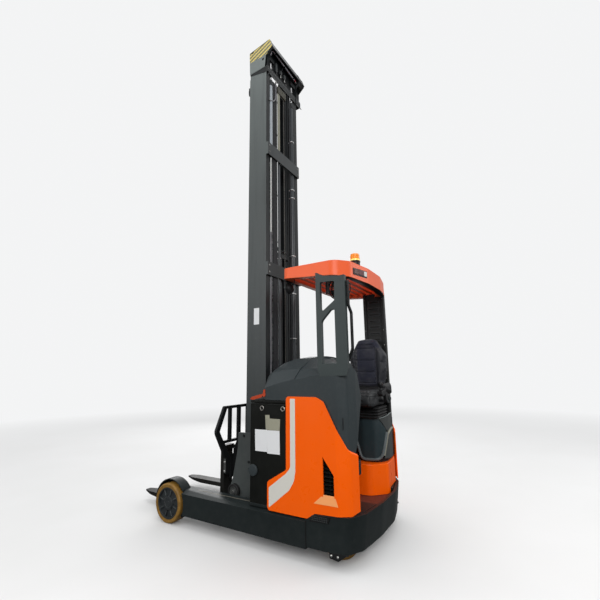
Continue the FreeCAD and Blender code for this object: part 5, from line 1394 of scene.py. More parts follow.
def stuff(name, outline, plane, a, b, inset, radius, voxel, cap, pressure, warp=None, keep=None):
    """A stuffed cover: a rounded block, remeshed, then blown up a little as cloth."""
    bm = bmesh.new()
    cu = sum(p[0] for p in outline) / len(outline)
    cv = sum(p[1] for p in outline) / len(outline)
    ring = []
    for p in outline:
        du, dv = cu - p[0], cv - p[1]
        l = math.hypot(du, dv)
        k = inset / l
        ring.append((p[0] + du * k, p[1] + dv * k) + tuple(p[2:]))
    pts = rounded(ring)
    lo, hi = a + inset, b - inset

    def put(u, v, h):
        if plane == "XY":
            return (u * MM, v * MM, h * MM)
        if plane == "XZ":
            return (u * MM, h * MM, v * MM)
        return (h * MM, u * MM, v * MM)
    v0 = [bm.verts.new(put(u, v, lo)) for u, v in pts]
    v1 = [bm.verts.new(put(u, v, hi)) for u, v in pts]
    n = len(pts)
    bm.faces.new(v0)
    bm.faces.new(list(reversed(v1)))
    for i in range(n):
        bm.faces.new((v0[i], v1[i], v1[(i + 1) % n], v0[(i + 1) % n]))
    bmesh.ops.recalc_face_normals(bm, faces=bm.faces)
    rim = [e for e in bm.edges if e.calc_face_angle(0) > 1.0 and abs(e.verts[0].co[{"XY": 2, "XZ": 1, "YZ": 0}[plane]] - e.verts[1].co[{"XY": 2, "XZ": 1, "YZ": 0}[plane]]) < 1e-6]
    bmesh.ops.bevel(bm, geom=rim, offset=radius * MM, segments=6, profile=0.5, affect="EDGES", clamp_overlap=True)
    bmesh.ops.triangulate(bm, faces=bm.faces)
    me = bpy.data.meshes.new(name)
    bm.to_mesh(me)
    bm.free()
    o = bpy.data.objects.new(name, me)
    scene.collection.objects.link(o)
    md = o.modifiers.new("remesh", "REMESH")
    md.mode = "VOXEL"
    md.voxel_size = voxel * MM
    me2 = evaluated_copy(o)
    o.modifiers.clear()
    o.data = me2
    if warp:
        for v in me2.vertices:
            p = v.co / MM
            v.co = Vector(warp(p)) * MM
        me2.update()
    start = [v.co.copy() for v in me2.vertices]
    cl = o.modifiers.new("cloth", "CLOTH")
    st = cl.settings
    st.quality = 4
    st.mass = 0.3
    st.use_pressure = True
    st.uniform_pressure_force = pressure
    st.effector_weights.gravity = 0.0
    st.tension_stiffness = 12
    st.compression_stiffness = 12
    st.shear_stiffness = 5
    st.bending_stiffness = 0.4
    cl.collision_settings.use_collision = False
    cl.collision_settings.use_self_collision = False
    cl.point_cache.frame_start = 1
    cl.point_cache.frame_end = 20
    for f in range(1, 21):
        scene.frame_set(f)
    me3 = evaluated_copy(o)
    o.modifiers.clear()
    moved = 0.0
    for v, s in zip(me3.vertices, start):
        d = v.co - s
        if d.length > cap * MM:
            d = d.normalized() * cap * MM
        if keep:
            d = d * keep(s / MM)
        moved = max(moved, d.length)
        v.co = s + d
    me3.update()
    o.data = me3
    scene.frame_set(1)
    sb = o.modifiers.new("sub", "SUBSURF")
    sb.levels = 1
    me4 = evaluated_copy(o)
    o.modifiers.clear()
    o.data = me4
    return o


def smooth01(t):
    t = max(0.0, min(1.0, t))
    return t * t * (3 - 2 * t)


def seg_dist(p, a, b):
    ax, ay = a
    bx, by = b
    dx, dy = bx - ax, by - ay
    l = dx * dx + dy * dy
    t = max(0.0, min(1.0, ((p[0] - ax) * dx + (p[1] - ay) * dy) / l)) if l else 0.0
    return math.hypot(p[0] - ax - t * dx, p[1] - ay - t * dy)


def groove(d, depth, width):
    return -depth * math.exp(-(d / width) ** 2)


def dress(o, mats, shade, body, node):
    me = o.data
    me.materials.clear()
    for m in mats:
        me.materials.append(MAT[m])
    for p in me.polygons:
        c = p.center / MM
        p.material_index = shade(c, p.normal)
        p.use_smooth = True
    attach(o, body)
    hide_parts(node)


SX = -1060.0
# -------- backrest
BR = [(SX - 158, 1206, 60), (SX + 158, 1206, 60), (SX + 204, 1390, 110), (SX + 204, 1545, 60), (SX + 95, 1712, 40), (SX - 95, 1712, 40), (SX - 204, 1545, 60), (SX - 204, 1390, 110)]


def br_warp(p):
    w = smooth01((abs(p.x - SX) - 80) / 50.0) * (1 - 0.75 * smooth01((p.z - 1560) / 90.0))
    head = smooth01((p.z - 1600) / 60.0)
    low = smooth01((1290 - p.z) / 70.0)
    f = max(0.0, min(1.0, (p.y + 460) / 60.0))
    return (p.x, p.y + f * (-16 + 24 * w + 9 * head + 6 * low), p.z)


back = stuff("seat_backrest_pad", BR, "XZ", -480, -362, 9, 26, 6.0, 11, 4.0, warp=br_warp)
me = back.data
BR_SEAMS = [((-1146, 1604), (-943, 1604)), ((-1143, 1486), (-944, 1486)), ((-1143, 1372), (-946, 1372)),
            ((-1143, 1262), (-946, 1262)), ((-943, 1262), (-941, 1600)), ((-1144, 1262), (-1146, 1600)),
            ((-1146, 1600), (-1122, 1640)), ((-941, 1600), (-966, 1640)), ((-1122, 1640), (-966, 1640))]
nrm_ = [v.normal.copy() for v in me.vertices]
for v, n in zip(me.vertices, nrm_):
    p = v.co / MM
    off = 0.0
    if n.y > 0.2:
        bend = 5.0 * (1 - ((p.x - SX) / 100.0) ** 2) if abs(p.x - SX) < 100 else 0.0
        q = (p.x, p.z + bend)
        d = min(seg_dist(q, a, b) for a, b in BR_SEAMS)
        off += groove(d, 7.5, 6.5) * smooth01((n.y - 0.2) / 0.4)
        if abs(p.x - SX) < 101:
            for z0, z1 in ((1262, 1372), (1372, 1486), (1486, 1604)):
                if z0 < q[1] < z1:
                    off += 5.0 * math.sin(math.pi * (q[1] - z0) / (z1 - z0)) * math.cos(math.pi * (p.x - SX) / 202.0) ** 0.5
        # gathers beside the seams
        off += 0.9 * math.sin(p.z * 0.16 + 2.0 * math.sin(p.x * 0.05)) * math.exp(-(d / 26.0) ** 2)
    # piping seam round the edge
    off += groove(abs(p.y + 432.0), 2.6, 3.6) * (1 - abs(n.y))
    off += 1.0 * math.sin(p.z * 0.031 + p.x * 0.022) * (1 if n.y > 0.2 else 0.3)
    v.co = v.co + n * off * MM
me.update()


def br_shade(c, n):
    if n.y < -0.3 or c.y < -434:
        return 2
    if abs(c.x - SX) < 98 + 4 and n.y > 0.3:
        return 0
    if c.z > 1606 and n.y > 0.1:
        return 0
    return 1


MAT["seat_back_shell"] = moulded("seat_back_shell", (0.016, 0.017, 0.018), 0.5, 800.0, 0.3)
dress(back, ["seat_fabric", "seat_bolster", "seat_back_shell"], br_shade, BODY_OF["seat_backrest"], "seat_backrest")

# -------- seat cushion
CU = [(SX + 236, 22, 60), (SX - 208, 22, 60), (SX - 196, -350, 40), (SX + 220, -350, 40)]


def cu_warp(p):
    up = smooth01((p.z - 1120) / 50.0)
    dish = 12.0 * math.exp(-(((p.x - SX - 10) / 120.0) ** 2 + ((p.y + 170) / 120.0) ** 2))
    nose = smooth01((p.y + 90) / 110.0)
    z = p.z - up * (dish + 9.0 * nose)
    return (p.x, p.y, z)


cush = stuff("seat_cushion_pad", CU, "XY", 1053, 1200, 8, 34, 6.0, 11, 4.0, warp=cu_warp)
me = cush.data
CU_SEAMS = [((-900, -300), (-900, -10)), ((-1196, -300), (-1196, -10)), ((-900, -10), (-1196, -10)), ((-900, -150), (-1196, -150)), ((-900, -232), (-1196, -232)), ((-900, -70), (-1196, -70))]
nrm_ = [v.normal.copy() for v in me.vertices]
for v, n in zip(me.vertices, nrm_):
    p = v.co / MM
    off = 0.0
    if n.z > 0.2:
        d = min(seg_dist((p.x, p.y), a, b) for a, b in CU_SEAMS)
        off += groove(d, 5.5, 6.0) * smooth01((n.z - 0.2) / 0.4)
        if -1196 < p.x < -900 and -232 < p.y < -10:
            k = (p.y + 232) / 81.0 if p.y < -150 else (p.y + 150) / 80.0 if p.y < -70 else (p.y + 70) / 60.0
            off += 3.0 * math.sin(math.pi * max(0.0, min(1.0, k)))
    if abs(n.z) < 0.75:
        off += groove(abs(p.z - 1150.0 + 3.0 * math.sin(p.x * 0.02)), 3.2, 4.0) * (1 - abs(n.z))
        off += groove(abs(p.z - 1078.0), 2.2, 3.5) * (1 - abs(n.z))
        if n.y > 0.4:
            off += min(groove(abs(p.x + 1212), 3.5, 4.5), groove(abs(p.x + 886), 3.5, 4.5)) * smooth01((1150 - p.z) / 8.0 + 1)
            off += 1.2 * math.sin(p.x * 0.045 + 1.5 * math.sin(p.z * 0.05))
    v.co = v.co + n * off * MM
me.update()
dress(cush, ["seat_vinyl", "black_plastic"], lambda c, n: 1 if (n.z < -0.6 and c.z < 1066) else 0, BODY_OF["seat_cushion"], "seat_cushion")

# -------- armrest pad
AR = [(-372, 1150, 22), (-152, 1202, 16), (-142, 1260, 20), (-340, 1270, 26), (-372, 1240, 20)]
arm = stuff("armrest_pad", AR, "YZ", SX - 250, SX - 200, 5, 18, 4.0, 6, 4.0)
me = arm.data
nrm_ = [v.normal.copy() for v in me.vertices]
for v, n in zip(me.vertices, nrm_):
    p = v.co / MM
    off = groove(abs(p.z - (1228 + (p.y + 372) * 0.12)), 2.0, 3.0) * abs(n.x)
    v.co = v.co + n * off * MM
me.update()
MAT["arm_black"] = leather("arm_black", (0.010, 0.0105, 0.012), 0.5, 380.0, 0.3)
dress(arm, ["arm_black"], lambda c, n: 0, BODY_OF["armrest"], "armrest")

# -------- controls at the front of the armrest
jb = Build()
jx = -1301.0
jb.prism("YZ", [(-136, 1178, 8), (-60, 1150, 12), (-18, 1168, 12), (-22, 1196, 10), (-60, 1206, 8), (-136, 1222, 6)], jx - 24, jx + 24, "black_plastic", 6, 3)
jb.prism("YZ", [(-210, 1092, 10), (-168, 1090, 10), (-140, 1160, 10), (-140, 1186, 6), (-200, 1180, 6)], jx - 14, jx + 14, "black_plastic", 5, 3)
jb.lathe((jx, -54, 0), "Z", [(15, 1203), (17, 1207), (14, 1212), (9, 1218), (7, 1224), (6.5, 1234)], "bellows_rubber", 28, caps=False)
jb.lathe((jx, -54, 0), (Vector((1, 0, 0)), Vector((0, 1, 0)), Vector((0, 0, 1))), [(6.5, 1228), (13, 1234), (18, 1244), (20, 1256), (18, 1268), (12, 1276), (5, 1279), (0, 1279.5)], "black_plastic", 28, caps=False)
jb.cyl((jx - 17, -54, 1262), (jx - 21, -54, 1264), 4, "amber_dull", 14, 1)
for i, y in enumerate((-104, -86)):
    jb.box(jx - 6, jx + 6, y - 4, y + 4, 1207, 1222, "hub_dark", 2.5, 2)
jb.lathe((jx, -172, 1100), "X", [(11, -30), (13, -28), (13, -17), (11, -15)], "hub_dark", 24)
jb.box(-1292, -1240, -214, -150, 1094, 1118, "black_plastic", 4)
jb.done("armrest_controls", BODY_OF["armrest"], "black_plastic")


# -------- bellows
def ring_loft(b, outline, levels, m, cap=True, angle=None):
    pts = rounded(outline)
    cu = sum(p[0] for p in pts) / len(pts)
    cv = sum(p[1] for p in pts) / len(pts)
    tmp = bmesh.new()
    rings = []
    for z, off in levels:
        row = []
        for u, v in pts:
            du, dv = u - cu, v - cv
            l = math.hypot(du, dv)
            row.append(tmp.verts.new(((u + du / l * off) * MM, (v + dv / l * off) * MM, (z(u, v) if callable(z) else z) * MM)))
        rings.append(row)
    n = len(pts)
    for r0, r1 in zip(rings, rings[1:]):
        for i in range(n):
            tmp.faces.new((r0[i], r0[(i + 1) % n], r1[(i + 1) % n], r1[i]))
    if cap:
        tmp.faces.new(list(reversed(rings[0])))
        tmp.faces.new(rings[-1])
    bmesh.ops.recalc_face_normals(tmp, faces=tmp.faces)
    b.take(tmp, m)


bl = Build()
BE = [(SX + 190, -90, 40), (SX - 190, -90, 40), (SX - 170, -440, 40), (SX + 170, -440, 40)]
lv = []
nf = 4
for i in range(nf):
    z0 = 950 + i * 25.0
    for t, off in ((0.0, -19.0), (0.12, -14.0), (0.30, -4.5), (0.42, -1.2), (0.5, 0.0), (0.58, -1.2), (0.70, -4.5), (0.88, -14.0)):
        lv.append((z0 + t * 25.0, off))
lv.append((1050.0, -19.0))
ring_loft(bl, BE, lv, "bellows_rubber")
bl.done("seat_bellows_folds", BODY_OF["seat_bellows"], "bellows_rubber", replaces=["seat_bellows"], weighted=False)

# -------- seat base shell
MAT["edge_light"] = moulded("edge_light", (0.16, 0.18, 0.18), 0.4, 700.0, 0.15)
MAT["beige_trim"] = moulded("beige_trim", (0.21, 0.205, 0.165), 0.45, 700.0, 0.2)
MAT["side_shell"] = moulded("side_shell", (0.050, 0.054, 0.053), 0.42, 800.0, 0.22)
BASE = [(-820, -172, 20), (-1000, -156, 30), (-1085, -124, 60), (-1195, -124, 50), (-1262, -160, 40), (-1290, -232, 30), (-1268, -494, 40), (-820, -494, 40)]
PATH_SRC = rounded([(p[0], p[1], p[2]) for p in BASE])
# path along the front and the rear-facing side, measured from X = -1000
k0 = min(range(len(PATH_SRC)), key=lambda i: abs(PATH_SRC[i][0] + 1000) + (0 if PATH_SRC[i][1] > -200 else 999))
PATH = [Vector(PATH_SRC[(k0 + i) % len(PATH_SRC)]) for i in range(len(PATH_SRC))]
if PATH[3].x > PATH[0].x:
    PATH = [Vector(PATH_SRC[(k0 - i) % len(PATH_SRC)]) for i in range(len(PATH_SRC))]
ARC = [0.0]
for a, b in zip(PATH, PATH[1:]):
    ARC.append(ARC[-1] + (b - a).length)


def on_path(s):
    if s <= 0:
        d = (PATH[1] - PATH[0]).normalized()
        return PATH[0] + d * s, Vector((-d.y, d.x))
    for i in range(1, len(ARC)):
        if ARC[i] >= s:
            t = (s - ARC[i - 1]) / max(1e-6, ARC[i] - ARC[i - 1])
            d = (PATH[i] - PATH[i - 1]).normalized()
            return PATH[i - 1].lerp(PATH[i], t), Vector((-d.y, d.x))
    return PATH[-1], Vector((0, 1))


_c = Vector((-1060, -320))


def surf(s, z, out=0.0):
    p, n = on_path(s)
    if n.dot(p - _c) < 0:
        n = -n
    return (p.x + n.x * out, p.y + n.y * out, z)


def panel(b, rows, m, out, back, cols=26, crown=0.0):
    tmp = bmesh.new()
    grid = []
    for z0, s0, z1, s1 in rows:
        row = []
        for j in range(cols + 1):
            t = j / cols
            s = s0 + (s1 - s0) * t
            z = z0 + (z1 - z0) * t
            edge = min(t, 1 - t) * 2
            row.append(tmp.verts.new(Vector(surf(s, z, out + crown * math.sin(math.pi * t)))  * MM))
        grid.append(row)
    nr = len(grid)
    for i in range(nr - 1):
        for j in range(cols):
            tmp.faces.new((grid[i][j], grid[i][j + 1], grid[i + 1][j + 1], grid[i + 1][j]))
    loop = grid[0][:] + [grid[i][cols] for i in range(1, nr)] + grid[-1][:-1][::-1] + [grid[i][0] for i in range(nr - 2, 0, -1)]
    inner = []
    for v in loop:
        p = v.co / MM
        c = Vector((_c.x, _c.y, p.z))
        d = (c - p).normalized() * (out - back)
        inner.append(tmp.verts.new((p + d) * MM))
    for i in range(len(loop)):
        j = (i + 1) % len(loop)
        tmp.faces.new((loop[i], loop[j], inner[j], inner[i]))
    bmesh.ops.recalc_face_normals(tmp, faces=tmp.faces)
    es = [e for e in tmp.edges if len(e.link_faces) == 2 and e.calc_face_angle(0) > 0.9]
    bmesh.ops.bevel(tmp, geom=es, offset=3.0 * MM, segments=3, profile=0.5, affect="EDGES", clamp_overlap=True)
    b.take(tmp, m)


sb_ = Build()
ring_loft(sb_, [(x, y, r) for x, y, r in BASE], [(572, -26), (590, -22), (700, -14), (900, -12), (930, -12), (940, -16)], "black_plastic")


def lerp_tab(tab, z):
    if z <= tab[0][0]:
        return tab[0][1]
    for (z0, s0), (z1, s1) in zip(tab, tab[1:]):
        if z <= z1:
            return s0 + (s1 - s0) * (z - z0) / (z1 - z0)
    return tab[-1][1]


SL = [(600, 100), (606, 82), (624, 56), (764, 4), (840, -18), (945, -60)]
SR = [(600, 214), (606, 232), (655, 262), (830, 322), (850, 318), (945, 240)]
rows = []
for z in (600, 603, 608, 616, 630, 655, 690, 730, 770, 810, 830, 850, 880, 910, 930, 942, 946):
    rows.append((z, lerp_tab(SL, z), z, lerp_tab(SR, z)))
panel(sb_, rows, "seat_shell", 0.0, -16, crown=4.0)
# side panel, its top edge rising to the rear
rows = []
for k in range(9):
    t = k / 8.0
    zf, zr = 836 + (944 - 836) * t, 850 + (980 - 850) * t
    rows.append((zf, 332 - 84 * t, zr, 500))
panel(sb_, rows, "side_shell", 0.5, -16, cols=20)
# lower side cover behind the beige trim
rows = []
for k in range(7):
    t = k / 6.0
    rows.append((604 + 200 * t, 286 + 52 * t, 590 + 236 * t, 500))
panel(sb_, rows, "side_shell", -3.0, -18, cols=18)
# light U-shaped trim round the front panel
us = [(-30, 872), (-14, 826), (0, 772), (16, 722), (36, 668), (54, 622), (72, 604), (100, 594), (150, 595), (205, 600), (238, 610), (262, 640), (282, 700), (302, 762), (322, 828)]
sb_.tube([surf(s, z, 1.5) for s, z in us], 13.0, "shell_trim", 12)
# beige outer trim
bs = [(268, 632), (290, 700), (312, 764), (328, 806), (346, 822), (380, 832), (430, 842), (486, 846)]
sb_.tube([surf(s + 8, z, 1.0) for s, z in bs], 11.5, "beige_trim", 12)
# light top edge
ts = [(-120, 945), (-60, 946), (40, 946), (160, 946), (236, 948), (300, 960), (360, 972), (420, 980), (500, 981)]
sb_.tube([surf(s, z, -1.0) for s, z in ts], 4.6, "edge_light", 10)
# screws on the far side
for x in (-900, -1160):
    sb_.bolt((x, -494, 640), (0, -1, 0), 7, "hub_dark", False)
    sb_.bolt((x, -494, 880), (0, -1, 0), 7, "hub_dark", False)
sb_.done("seat_base_shell", BODY_OF["seat_base"], "seat_shell", replaces=["seat_base"])

# -------- steering wheel: moulded rim with grips, knob and a plain centre cap
sw = Build()
tl = math.radians(20)
cw = Vector((-1000.0, 105.0, 1415.0))
ux = Vector((1, 0, 0))
uy = Vector((0, math.cos(tl), math.sin(tl)))
uz = ux.cross(uy)
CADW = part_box("steering_wheel")
sgn = 1.0
wn = Vector((0, -math.sin(tl), math.cos(tl)))
sw.lathe(tuple(cw), (ux, uy, wn), [(31, 8), (31.5, 12), (28, 16.5), (20, 19), (8, 20), (0, 20)], "black_plastic", 36, caps=False)
kp = cw + ux * 78 + uy * 58
sw.lathe(tuple(kp), (ux, uy, wn), [(9, 12), (11, 16), (9, 22), (12, 28), (20, 36), (23, 46), (20, 55), (12, 61), (0, 63)], "black_plastic", 30, caps=False)
for k in range(28):
    a = math.radians(200 + k * 5.0)
    p = cw + ux * (100 * math.cos(a)) + uy * (100 * math.sin(a))
    q = ux * math.cos(a) + uy * math.sin(a)
    tdir = q.cross(wn)
    sw.lathe(tuple(p), (q, wn, tdir), [(12.0, -2.0), (12.7, -1.2), (12.7, 1.2), (12.0, 2.0)], "black_plastic", 14, caps=False)
sw.done("steering_wheel_trim", BODY_OF["steering_wheel"], "black_plastic")

# ================================================================== console, covers and small fittings
def soften2(node, steps, mats, paint_fn, cuts=(), trim=(), name=None):
    """As soften, with flat cuts that split faces (cuts) or take material away (trim) first."""
    src = NODES[node]
    bm = bmesh.new()
    bm.from_mesh(src.data)
    bmesh.ops.remove_doubles(bm, verts=bm.verts, dist=2e-5)
    bmesh.ops.dissolve_limit(bm, angle_limit=math.radians(1.0), verts=bm.verts, edges=bm.edges)
    bmesh.ops.recalc_face_normals(bm, faces=bm.faces)
    for co, no in trim:
        r = bmesh.ops.bisect_plane(bm, geom=bm.verts[:] + bm.edges[:] + bm.faces[:], dist=1e-6, plane_co=Vector(co) * MM, plane_no=Vector(no), clear_outer=True)
        es = [g for g in r["geom_cut"] if isinstance(g, bmesh.types.BMEdge) and len(g.link_faces) == 1]
        if es:
            bmesh.ops.holes_fill(bm, edges=es, sides=0)
    if trim:
        bmesh.ops.remove_doubles(bm, verts=bm.verts, dist=2e-5)
        bmesh.ops.dissolve_limit(bm, angle_limit=math.radians(1.0), verts=bm.verts, edges=bm.edges)
        bmesh.ops.recalc_face_normals(bm, faces=bm.faces)
    bev = bm.edges.layers.int.new("done")
    for w, sg, ang, pick in steps:
        es = [e for e in bm.edges if len(e.link_faces) == 2 and e[bev] == 0 and e.calc_face_angle(0) > math.radians(ang)
              and (pick is None or pick((e.verts[0].co + e.verts[1].co) * 500.0, e))]
        if es:
            r = bmesh.ops.bevel(bm, geom=es, offset=w * MM, segments=sg, profile=0.55, affect="EDGES", clamp_overlap=True)
            for f in r["faces"]:
                for e in f.edges:
                    e[bev] = 1
    for co, no in cuts:
        bmesh.ops.bisect_plane(bm, geom=bm.verts[:] + bm.edges[:] + bm.faces[:], dist=1e-6, plane_co=Vector(co) * MM, plane_no=Vector(no))
    bm.normal_update()
    for f in bm.faces:
        f.material_index = paint_fn(f.calc_center_median() * 1000.0, f.normal) if paint_fn else 0
    me = bpy.data.meshes.new(name or node + "_skin")
    bm.to_mesh(me)
    bm.free()
    for m in mats:
        me.materials.append(MAT[m])
    o = bpy.data.objects.new(name or node + "_skin", me)
    scene.collection.objects.link(o)
    finish_mesh(o, 30.0)
    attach(o, BODY_OF[node])
    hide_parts(node)
    return o


# console: the rounded rear corner of the panel carried up to the pillar
arc = rounded([(-780, 609, 0), (-1171, 609, 68), (-1250, 568, 38), (-1277, 495, 0), (-1420, 495, 0), (-1420, 400, 0), (-780, 400, 0)])
planes = []
for (x0, y0), (x1, y1) in zip(arc, arc[1:]):
    if x1 < -1279 or y0 < 500 or abs(y0 - 609) < 1e-3 and abs(y1 - 609) < 1e-3:
        continue
    d = Vector((x1 - x0, y1 - y0, 0)).normalized()
    n = Vector((d.y, -d.x, 0))
    if n.dot(Vector((x0 + 1000, y0 - 300, 0))) < 0:
        n = -n
    planes.append(((x0 + n.x * 0.4, y0 + n.y * 0.4, 0), tuple(n)))
soften2("steering_console", [(16, 4, 18, None)], ["hood_grey"], None, trim=planes)

soften2("motor_cover", [(14, 4, 25, None)], ["orange_panel", "black_plastic"], lambda c, n: 1 if c.z > 566 else 0,
        cuts=[((0, 0, 566), (0, 0, 1))], trim=[((-1152, 0, 0), (-1, 0, 0))])
soften2("overhead_guard", [(10, 3, 35, None)], ["guard_orange", "black_steel"],
        lambda c, n: 1 if (n.z < -0.75 and c.x < -1215 and c.z < 2165) else 0, cuts=[((-1215, 0, 0), (1, 0, 0))])
# half shade copy of the lift cylinder paint
MAT["cyl_painted_half_shade"] = paint("cyl_painted_half_shade", (0.012, 0.0145, 0.016), 0.28, vary=0.15, dust=0.05, dust_col=(0.05, 0.05, 0.05), peel=0.06, spec=0.35)
# painted light on the lift cylinders: the left one pale above 3780 mm as a painted highlight and darker below, the
# right one in painted shade
soften2("lift_cylinders", [(1.0, 1, 28, None)], ["cyl_painted_highlight", "cyl_painted_half_shade", "cyl_painted_shade"], lambda c, n: 2 if c.y < 0 else (0 if c.z > 3780 else 1),
        cuts=[((0, 0, 3780), (0, 0, 1))])
soften2("battery_lid", [(3, 2, 28, None)], ["battery_black"], None)
soften2("free_lift_rod", [(2, 2, 28, None)], ["chrome_rod", "mast_dark"], lambda c, n: 1 if c.z > 2600 else 0)
# lighter grey: painted light on the lit side faces of the backrest's lower brackets, and the plain colour of the roller
# hubs
MAT["rest_edge"] = paint("rest_edge", (0.050, 0.053, 0.051), 0.4, vary=0.15, dust=0.15, dust_col=(0.1, 0.1, 0.1), peel=0.1, wear=0.4, wear_col=(0.2, 0.2, 0.2))
soften2("load_backrest", [(3, 2, 28, None)], ["black_steel", "rest_edge"], lambda c, n: 1 if (abs(n.y) > 0.55 and abs(c.y) > 394 and 440 < c.z < 610) else 0)

gd = Build()
gd.prism("XY", [(-1180, 492, 12), (-1226, 486, 30), (-1270, 462, 30), (-1306, 300, 0), (-1318, 160, 0), (-1310, -170, 0), (-1286, -340, 0), (-1244, -470, 20), (-1214, -456, 8), (-1250, -340, 0), (-1270, -170, 0), (-1278, 160, 0), (-1266, 300, 0), (-1236, 436, 20)], 2141, 2151, "black_steel", 3, 2)
gd.done("guard_rear_trim", "chassis", "guard_orange")

ex = Build()
LATCH = [(-341, 1152, 4), (-374, 1148, 3), (-507, 1179, 4), (-504, 1238, 4), (-487, 1234, 4), (-481, 1200, 8), (-444, 1193, 8), (-361, 1172, 6)]
SLIT = (-1225, 952, 1037)
# lid latch, blank
MAT["latch_red"] = paint("latch_red", (0.42, 0.045, 0.010), 0.38, vary=0.1, dust=0.1, dust_col=(0.2, 0.1, 0.06), peel=0.08)
ex.prism("XZ", LATCH, 601.5, 607.5, "latch_red", 1.2)
ex.bolt((-480, 607.5, 1178), (0, 1, 0), 6, "black_steel", False)
# vent: sill painted lighter orange as a painted reflection of the sky on its sloped face, and black louvres behind the
# opening
MAT["sill_painted_highlight"] = paint("sill_painted_highlight", (1.0, 0.40, 0.14), 0.4, vary=0.05, dust=0.08, dust_col=(0.6, 0.35, 0.2), peel=0.08)
for s in (1, -1):
    tmp = bmesh.new()
    front = [(-968, 624.0, 418), (-1173, 624.0, 421), (-1146, 621.5, 489), (-1051, 621.5, 489)]
    rear = [(-980, 613, 424), (-1160, 613, 426), (-1143, 613, 485), (-1056, 613, 485)]
    va = [tmp.verts.new((x * MM, s * y * MM, z * MM)) for x, y, z in front]
    vb = [tmp.verts.new((x * MM, s * y * MM, z * MM)) for x, y, z in rear]
    tmp.faces.new(va)
    tmp.faces.new(list(reversed(vb)))
    for i in range(4):
        tmp.faces.new((va[i], vb[i], vb[(i + 1) % 4], va[(i + 1) % 4]))
    bmesh.ops.recalc_face_normals(tmp, faces=tmp.faces)
    bmesh.ops.bevel(tmp, geom=tmp.edges[:], offset=0.8 * MM, segments=2, profile=0.5, affect="EDGES", clamp_overlap=True)
    ex.take(tmp, "sill_painted_highlight")
    y0, y1 = sorted((571 * s, 575 * s))
    ex.box(-1166, -1036, y0, y1, 462, 770, "dark_gap", 1)
    for k in range(10):
        z = 480 + 28 * k
        tmp = bmesh.new()
        pr = [(576, z), (606, z - 13), (606, z - 10), (576, z + 3)]
        a = [tmp.verts.new((-1162 * MM, s * y * MM, zz * MM)) for y, zz in pr]
        b = [tmp.verts.new((-1040 * MM, s * y * MM, zz * MM)) for y, zz in pr]
        tmp.faces.new(a)
        tmp.faces.new(list(reversed(b)))
        for i in range(4):
            tmp.faces.new((a[i], b[i], b[(i + 1) % 4], a[(i + 1) % 4]))
        bmesh.ops.recalc_face_normals(tmp, faces=tmp.faces)
        ex.take(tmp, "battery_black")
    y0, y1 = sorted((578 * s, 603 * s))
    ex.box(-1103, -1099, y0, y1, 466, 766, "battery_black", 0.8)
ex.done("panel_vents", "chassis", "orange_panel")

sm = Build()
# dark box standing out of the drive cover towards the step
sm.prism("XY", [(-1120, 300, 10), (-1225, 300, 30), (-1243, 340, 40), (-1233, 556, 22), (-1120, 556, 6)], 585, 690, "black_plastic", 8, 3)
# slit on the console side
sm.box(SLIT[0] - 3, SLIT[0] + 3, 602, 604.8, SLIT[1], SLIT[2], "dark_gap", 0.8)
# spine between the cushion and the backrest
sm.prism("YZ", [(-474, 960, 8), (-446, 960, 8), (-440, 1060, 20), (-372, 1072, 16), (-362, 1120, 14), (-368, 1196, 14), (-440, 1300, 18), (-474, 1560, 10)], -1170, -950, "black_plastic", 8, 3)
sm.prism("YZ", [(-440, 1064, 14), (-368, 1070, 14), (-358, 1120, 14), (-366, 1190, 16), (-430, 1200, 18)], -1256, -864, "black_plastic", 10, 3)
sm.box(-1264, -1232, -420, -340, 1078, 1150, "black_plastic", 8, 3)
sm.lathe((-1264, -392, 1112), "X", [(20, 6), (24, 2), (24, -10), (19, -14), (0, -15)], "hub_dark", 32, caps=False)
# foot controls on the cab floor
for x0, x1, y0, y1 in ((-955, -880, 60, 170), (-955, -880, -80, 30)):
    sm.prism("YZ", [(y0, 324, 4), (y1, 324, 4), (y1, 334, 4), (y0, 356, 6)], x0, x1, "black_plastic", 4, 3)
    for k in range(5):
        yy = y0 + 16 + k * 19
        zz = 356 - (yy - y0) * 22.0 / (y1 - y0)
        sm.box(x0 + 8, x1 - 8, yy - 3, yy + 3, zz - 2, zz + 3.5, "bellows_rubber", 1.5)
# step mesh on the deck edge behind the left leg
for k in range(9):
    for s in (1, -1):
        a, b = sorted((635.5 * s, 638.0 * s))
        sm.prism("XZ", [(-964 - k * 14.5, 307, 0), (-961 - k * 14.5, 307, 0), (-966 - k * 14.5, 339, 0), (-969 - k * 14.5, 339, 0)], a, b, "mast_beam", 0.5, 1)
for s in (1, -1):
    a, b = sorted((600 * s, 636.2 * s))
    sm.prism("XZ", [(-928, 293, 2), (-1094, 305, 4), (-1108, 350, 4), (-978, 344, 4)], a, b, "dark_gap", 1.0, 1)
    a, b = sorted((635.5 * s, 638.0 * s))
    for z in (308, 322, 336):
        sm.box(-1088, -956, a, b, z, z + 2.5, "mast_beam", 0.5, 1)
sm.done("cab_fittings", "chassis", "black_plastic")

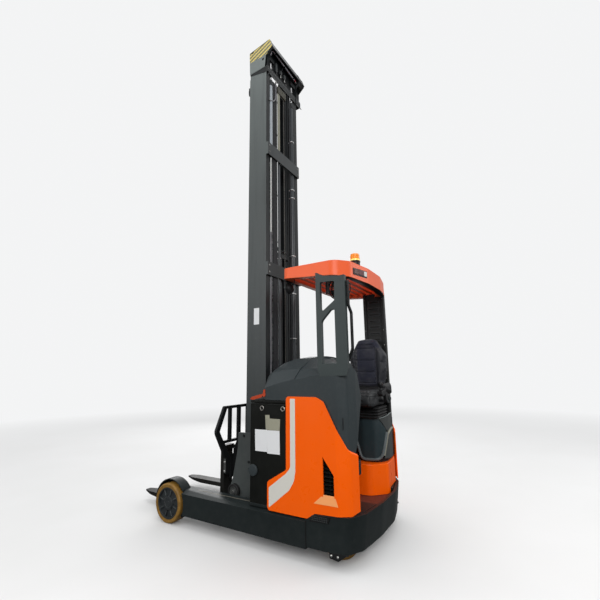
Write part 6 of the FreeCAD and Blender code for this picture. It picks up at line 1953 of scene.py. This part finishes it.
# reach carriage: gusset plates, beam and rollers with their hubs
MAT["gusset_grey"] = paint("gusset_grey", (0.060, 0.068, 0.067), 0.42, spec=0.2, vary=0.14, dust=0.15, dust_col=(0.12, 0.12, 0.115), wear=0.4, wear_col=(0.2, 0.2, 0.2), peel=0.16, streak=0.12)
rc = Build()
GUS = [(-299, 232, 20), (102, 232, 20), (102, 330, 20), (73, 401, 20), (17, 676, 20), (15, 815, 6), (-299, 823, 6)]
for s in (1, -1):
    a, b = sorted((322 * s, 342 * s))
    rc.prism("XZ", GUS, a, b, "gusset_grey", 3, 2)
    a, b = sorted((250 * s, 330 * s))
    rc.box(-64, -46, a, b, 400, 690, "mast_dark", 3)
    a, b = sorted((342 * s, 346 * s))
    rc.box(-290, -274, a, b, 420, 800, "gusset_grey", 1.5)
    for x, z in ((-220, 790), (-60, 790), (-250, 560), (-120, 560)):
        rc.bolt((x, 342 * s, z), (0, s, 0), 10, "mast_dark")
    n = (Vector((1, 0, 0)), Vector((0, 0, 1)), Vector((0, s, 0)))
    for x in (39, -225):
        c = (x, 342 * s, 290)
        rc.lathe(c, n, [(61, 1), (66, 4), (66, 30), (61, 34), (49, 34), (46, 31), (46, 24)], "bellows_rubber", 56, caps=False)
        rc.lathe(c, n, [(46, 24), (44, 29), (40, 29.5), (30, 24), (28, 24), (26, 31), (24, 33), (14, 33)], "rest_edge", 48, caps=False)
        rc.lathe(c, n, [(14, 33), (13, 36), (9, 37), (0, 37)], "bolt_steel", 24, caps=False)
rc.box(-299, -64, -330, 330, 210, 248, "mast_dark", 4)
rc.done("reach_carriage_parts", BODY_OF["reach_carriage"], "mast_grey", replaces=["reach_carriage"])

# bolts on the backrest's lower brackets, and the carriage behind it
bb = Build()
for s in (1, -1):
    for z in (545, 462):
        bb.bolt((130, 396 * s, z), (0, s, 0), 8, "bolt_pale", True, 5)
    a, b = sorted((296 * s, 340 * s))
    bb.box(108, 116, a, b, 396, 610, "black_steel", 2)
bb.done("backrest_bolts", BODY_OF["load_backrest"], "black_steel")


for n in NODES:
    if not NODES[n].hide_render:
        me = NODES[n].data
        me.materials.clear()
        me.materials.append(MAT[SLOT_OF[n]])
